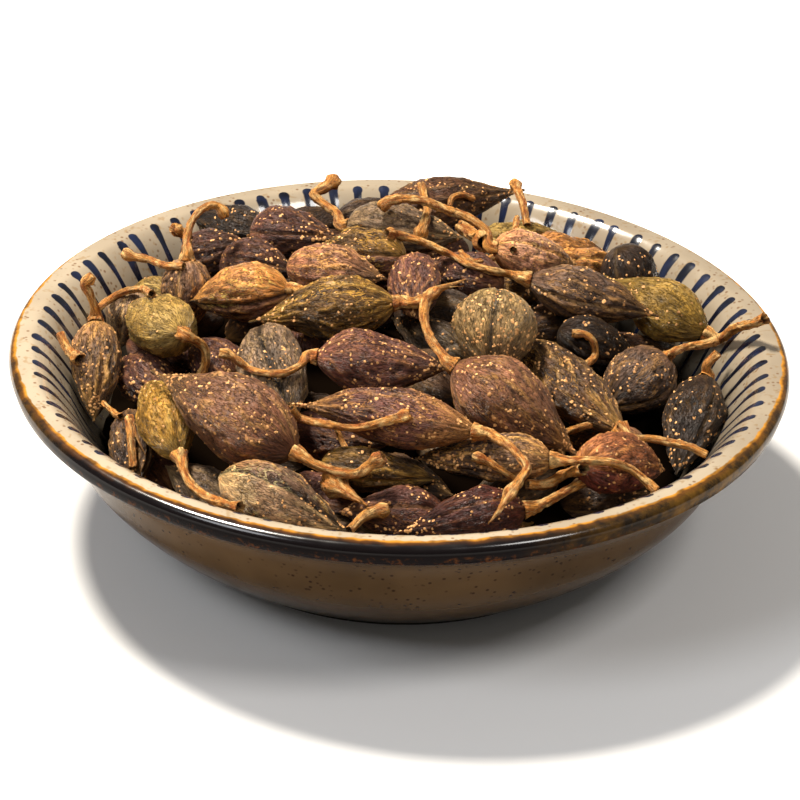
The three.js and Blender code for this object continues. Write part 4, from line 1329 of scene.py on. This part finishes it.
# %% The glaze material
PAINTED_FOOT_SHADE_TOP = 18.0 * MM
UNDER_LIP = (21.2 * MM, 25.0 * MM)
PAINTED_WALL_SHADE = ((LIP_HEIGHT - 12.0) * MM, (LIP_HEIGHT - 2.0) * MM)
BAND_LOW = ((LIP_HEIGHT - 2.0) * MM, (LIP_HEIGHT - 1.5) * MM)
BAND_TOP = ((LIP_HEIGHT - 1.4) * MM, (LIP_HEIGHT - 0.7) * MM)
glaze, glaze_shader = new_material("stoneware glaze")
spot = node(glaze, "ShaderNodeTexCoord").outputs["Object"]


def noise(scale, detail=3.0, roughness=0.55):
    return node(glaze, "ShaderNodeTexNoise", {"Vector": spot, "Scale": scale,
                "Detail": detail, "Roughness": roughness}).outputs["Fac"]


def stepped(value, low, high, at_low=0, at_high=1):
    return ranged(glaze, value, low, high, at_low, at_high)


def blend(low, high, share):
    return mixed(glaze, low, high, share)


def times(a, b):
    return math_node(glaze, "MULTIPLY", a, b)


cream = blend("#9a8b76", "#b0a18a", stepped(noise(45.0), 0.35, 0.65))
cream = blend(cream, "#8a6a3c", stepped(noise(900.0, 1.0), 0.60, 0.72, 0, 0.5))
cells = node(glaze, "ShaderNodeTexVoronoi", {"Vector": spot, "Scale": 900.0,
             "Randomness": 1.0}, feature="F1").outputs["Distance"]
speck_mask = times(stepped(cells, 0.14, 0.28, 1, 0), stepped(noise(260.0, 1.0), 0.44, 0.52))
cream = blend(cream, "#6a4522", times(speck_mask, 0.75))
outer = attribute(glaze, "outer", "Fac")
# painted shade: the outer wall is painted dark brown, darker toward the foot and nearly black
# just under the lip
body = blend("#3c2c1a", "#4e3b26", stepped(noise(60.0), 0.35, 0.65))
body = blend(body, "#1c0f06", times(speck_mask, 0.9))
parted = node(glaze, "ShaderNodeSeparateXYZ", {0: spot})
east, north, height_of = (parted.outputs[axis] for axis in "XYZ")
body = blend("#170d04", body, stepped(height_of, 0.5 * MM, PAINTED_FOOT_SHADE_TOP))
body = blend(body, "#0c0603", stepped(height_of, *UNDER_LIP, 0.0, 0.9))
# painted shade: the inner wall darkens toward the heap
cream = tinted(glaze, cream, stepped(height_of, *PAINTED_WALL_SHADE, 0.16, 1.0))
# painted shade: the back and the right side of the cream are darker
cream = tinted(glaze, cream, stepped(north, 0.0, 0.05, 1.0, 0.82))
cream = tinted(glaze, cream, stepped(east, 0.015, 0.05, 1.0, 0.78))
surface = blend(cream, body, outer)
ink = attribute(glaze, "ink", "Fac")
ink_depth = times(ink, stepped(noise(500.0), 0.3, 0.7, 0.85, 1))
surface = blend(surface, blend("#080b18", "#18213c", stepped(noise(300.0), 0.4, 0.7)),
                stepped(ink_depth, 0.1, 0.75))
reach_in = math_node(glaze, "ADD", attribute(glaze, "band", "Fac"),
                     stepped(noise(420.0, 2.0), 0.3, 0.7, -0.2, 0.2))
low_on_band = stepped(height_of, *BAND_LOW, 1, 0)
flecks = times(low_on_band, stepped(noise(950.0, 4.0, 0.7), 0.52, 0.68, 0, 0.9))
iron = blend("#0a0506", "#4e2a0c", flecks)
side_iron = blend("#241805", "#6e4c10", stepped(noise(330.0, 4.0, 0.7), 0.4, 0.7))
to_side = math_node(glaze, "MAXIMUM", stepped(east, 0.016, 0.046),
                    stepped(east, -0.057, -0.044, 1, 0))
iron = blend(iron, side_iron, to_side)
iron = blend(iron, "#543812", stepped(north, 0.010, 0.045))
gold = times(stepped(reach_in, 0.35, 1.25, 1, 0), stepped(height_of, *BAND_TOP))
gold = times(gold, stepped(noise(330.0, 3.0), 0.40, 0.56, 0.35, 1))
iron = blend(iron, blend("#5c3408", "#b87c20", stepped(reach_in, 0.15, 0.6, 1, 0)), gold)
surface = blend(surface, iron, stepped(reach_in, -0.08, 0.1))
grit = node(glaze, "ShaderNodeBump", {"Strength": 0.35, "Distance": 0.15 * MM,
            "Height": noise(170.0, 2.0)})
fill(glaze, glaze_shader, {
    "Base Color": surface, "Normal": grit.outputs[0], "Coat Roughness": 0.08,
    "Roughness": stepped(noise(240.0), 0.3, 0.7, 0.14, 0.26),
    "Coat Weight": stepped(outer, 0, 1, 0.4, 0.0),
    "Specular IOR Level": stepped(outer, 0, 1, 0.5, 0.03)})
dish = grid_piece("stoneware_dish", [(dish_grid, dish_values)], glaze)
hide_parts("dish")

# %% [markdown]
# ## Brush strokes
#
# A ring of dark blue strokes runs round the inside: each starts as a round
# dab on the lip and thins as the brush runs down the wall. Each stroke is a
# thin strip that hugs the wall, in the same glaze, so it has soft edges.

# %% One stroke
STROKES = 82
STROKE_HEAD = 53.0              # radius of the middle of the dab
STROKE_LONG = 17.0
STROKE_START = -0.95            # where it begins, seen from the middle of the dab
STROKE_EDGE = 1.25              # the strip is a little wider than its ink
STROKE_LIFT = 0.045
STROKE_ACROSS = np.array([-STROKE_EDGE, -1.0, -0.8, -0.4, 0.0, 0.4, 0.8, 1.0, STROKE_EDGE])
wall_arc = np.concatenate([[0], np.cumsum(np.linalg.norm(np.diff(inner_run, axis=0),
                                                         axis=1))])
head_arc = float(np.interp(-STROKE_HEAD, -inner_run[:, 0], wall_arc))


def stroke(angle, rng):
    """A strip from its dab on the lip down the wall, with its ink."""
    run = STROKE_LONG * rng.uniform(0.85, 1.1)
    s = np.concatenate([np.linspace(STROKE_START, 2.2, 16), np.linspace(2.6, run, 22)])
    head = rng.uniform(0.66, 0.86)
    dab = head * np.sqrt(np.clip(1 - (s / 0.9) ** 2, 0, 1))
    tail = np.where(s > 0, np.interp(s, [0, 1.2, 4, 9, run], [0.72, 0.64, 0.57, 0.42, 0.2]), 0)
    tail = tail * rng.uniform(0.75, 1.15) * (1 + 0.12 * np.sin(s * rng.uniform(0.6, 1.4)))
    half = np.maximum(np.maximum(dab, tail), 0.03)
    at = np.maximum(head_arc + s + rng.normal(0, 0.12), 0)
    r, z = (np.interp(at, wall_arc, inner_run[:, i]) for i in (0, 1))
    slope = np.gradient(np.stack([r, z], 1), axis=0)
    slope /= np.linalg.norm(slope, axis=1)[:, None]
    lean = rng.normal(0, 0.02) * s + 0.12 * np.sin(s * 0.5 + rng.uniform(0, 6))
    turned = angle + (lean[:, None] + STROKE_ACROSS[None] * half[:, None]) / r[:, None]
    lift = STROKE_LIFT * (STROKE_EDGE - np.abs(STROKE_ACROSS)).clip(0.1)[None]
    points = on_dish(r[:, None] + slope[:, 1:] * lift, z[:, None] - slope[:, :1] * lift,
                     turned)
    edge = np.clip((STROKE_EDGE - np.abs(STROKE_ACROSS)) / 0.3, 0, 1)[None]
    ends = np.clip((s - STROKE_START) / 0.2, 0, 1) * np.clip((run - s) / 3.5, 0, 1)
    ink_here = edge * ends[:, None] * rng.uniform(0.85, 1.0)
    return points, {"band": np.full_like(ink_here, -3.0), "outer": 0 * ink_here,
                    "ink": ink_here}


FIRST_STROKE = 2.33             # angle of a stroke at the back left
hand = chance_of(77)
angles = FIRST_STROKE + 2 * math.pi * (np.arange(STROKES)
                                       + hand.normal(0, 0.05, STROKES)) / STROKES
strips = join_grids([stroke(a, hand) for a in angles], closed=False)
strokes = mesh_piece("brush_strokes", *strips, glaze)
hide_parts("dish")

# %% [markdown]
# ## Floor, light and camera
#
# The picture was lit from above, a little from behind and from the left, with
# white all round, so the lip shines and the outer wall falls into shade, which
# its painted dark colour deepens. The camera is the eye from the top of this script.

# %% A pale floor
FLOOR_REACH = 6.0
floor_mesh = bpy.data.meshes.new("floor")
floor_mesh.from_pydata([(x * FLOOR_REACH, y * FLOOR_REACH, 0)
                        for x, y in ((-1, -1), (1, -1), (1, 1), (-1, 1))], [], [(0, 1, 2, 3)])
floor = add_object("floor", floor_mesh)
floor_material, floor_shader = new_material("pale floor")
fill(floor_material, floor_shader, {"Base Color": (0.86, 0.86, 0.86, 1), "Roughness": 0.9})
floor_mesh.materials.append(floor_material)
print("floor made")

# %% Soft studio light
world = bpy.data.worlds.new("studio")
bpy.context.scene.world = world
world.use_nodes = True
background = world.node_tree.nodes["Background"]
background.inputs["Color"].default_value = (1.0, 0.95, 0.88, 1)
background.inputs["Strength"].default_value = 0.2


LIT_POINT = Vector((0, 0, 0.02))


def soft_light(name, place, size, power, colour):
    light = bpy.data.lights.new(name, "AREA")
    light.shape = "DISK"
    light.size = size
    light.energy = power
    light.color = colour
    lamp = add_object(name, light)
    lamp.location = place
    lamp.rotation_euler = (LIT_POINT - Vector(place)).to_track_quat("-Z", "Y").to_euler()


soft_light("key", (-0.34, 0.22, 0.90), 0.22, 23.0, (1.0, 0.93, 0.82))
soft_light("right", (0.42, -0.32, 0.78), 0.24, 2.6, (1.0, 0.97, 0.94))
soft_light("left", (-0.48, -0.38, 0.62), 0.30, 2.2, (0.95, 0.97, 1.0))
print("three lamps")

# %% The camera
scene = bpy.context.scene
camera_data = bpy.data.cameras.new("camera")
camera_data.sensor_width = 36.0
camera_data.lens = 36.0 * FOCAL_PIXELS / IMAGE_PIXELS
camera_data.shift_x = -(LIP_CENTRE_PIXEL[0] - IMAGE_PIXELS / 2) / IMAGE_PIXELS
camera_data.shift_y = -(IMAGE_PIXELS / 2 - LIP_CENTRE_PIXEL[1]) / IMAGE_PIXELS
camera_data.clip_start = 0.01
camera_data.clip_end = 20
camera = add_object("camera", camera_data)
camera.matrix_world = Matrix(
    [[*(float(v[i]) for v in (picture_right, picture_up, to_eye)), float(eye[i]) * MM]
     for i in range(3)] + [[0, 0, 0, 1]])
scene.camera = camera
scene.view_settings.view_transform = "Standard"
print("lens", round(camera_data.lens, 1), "mm")
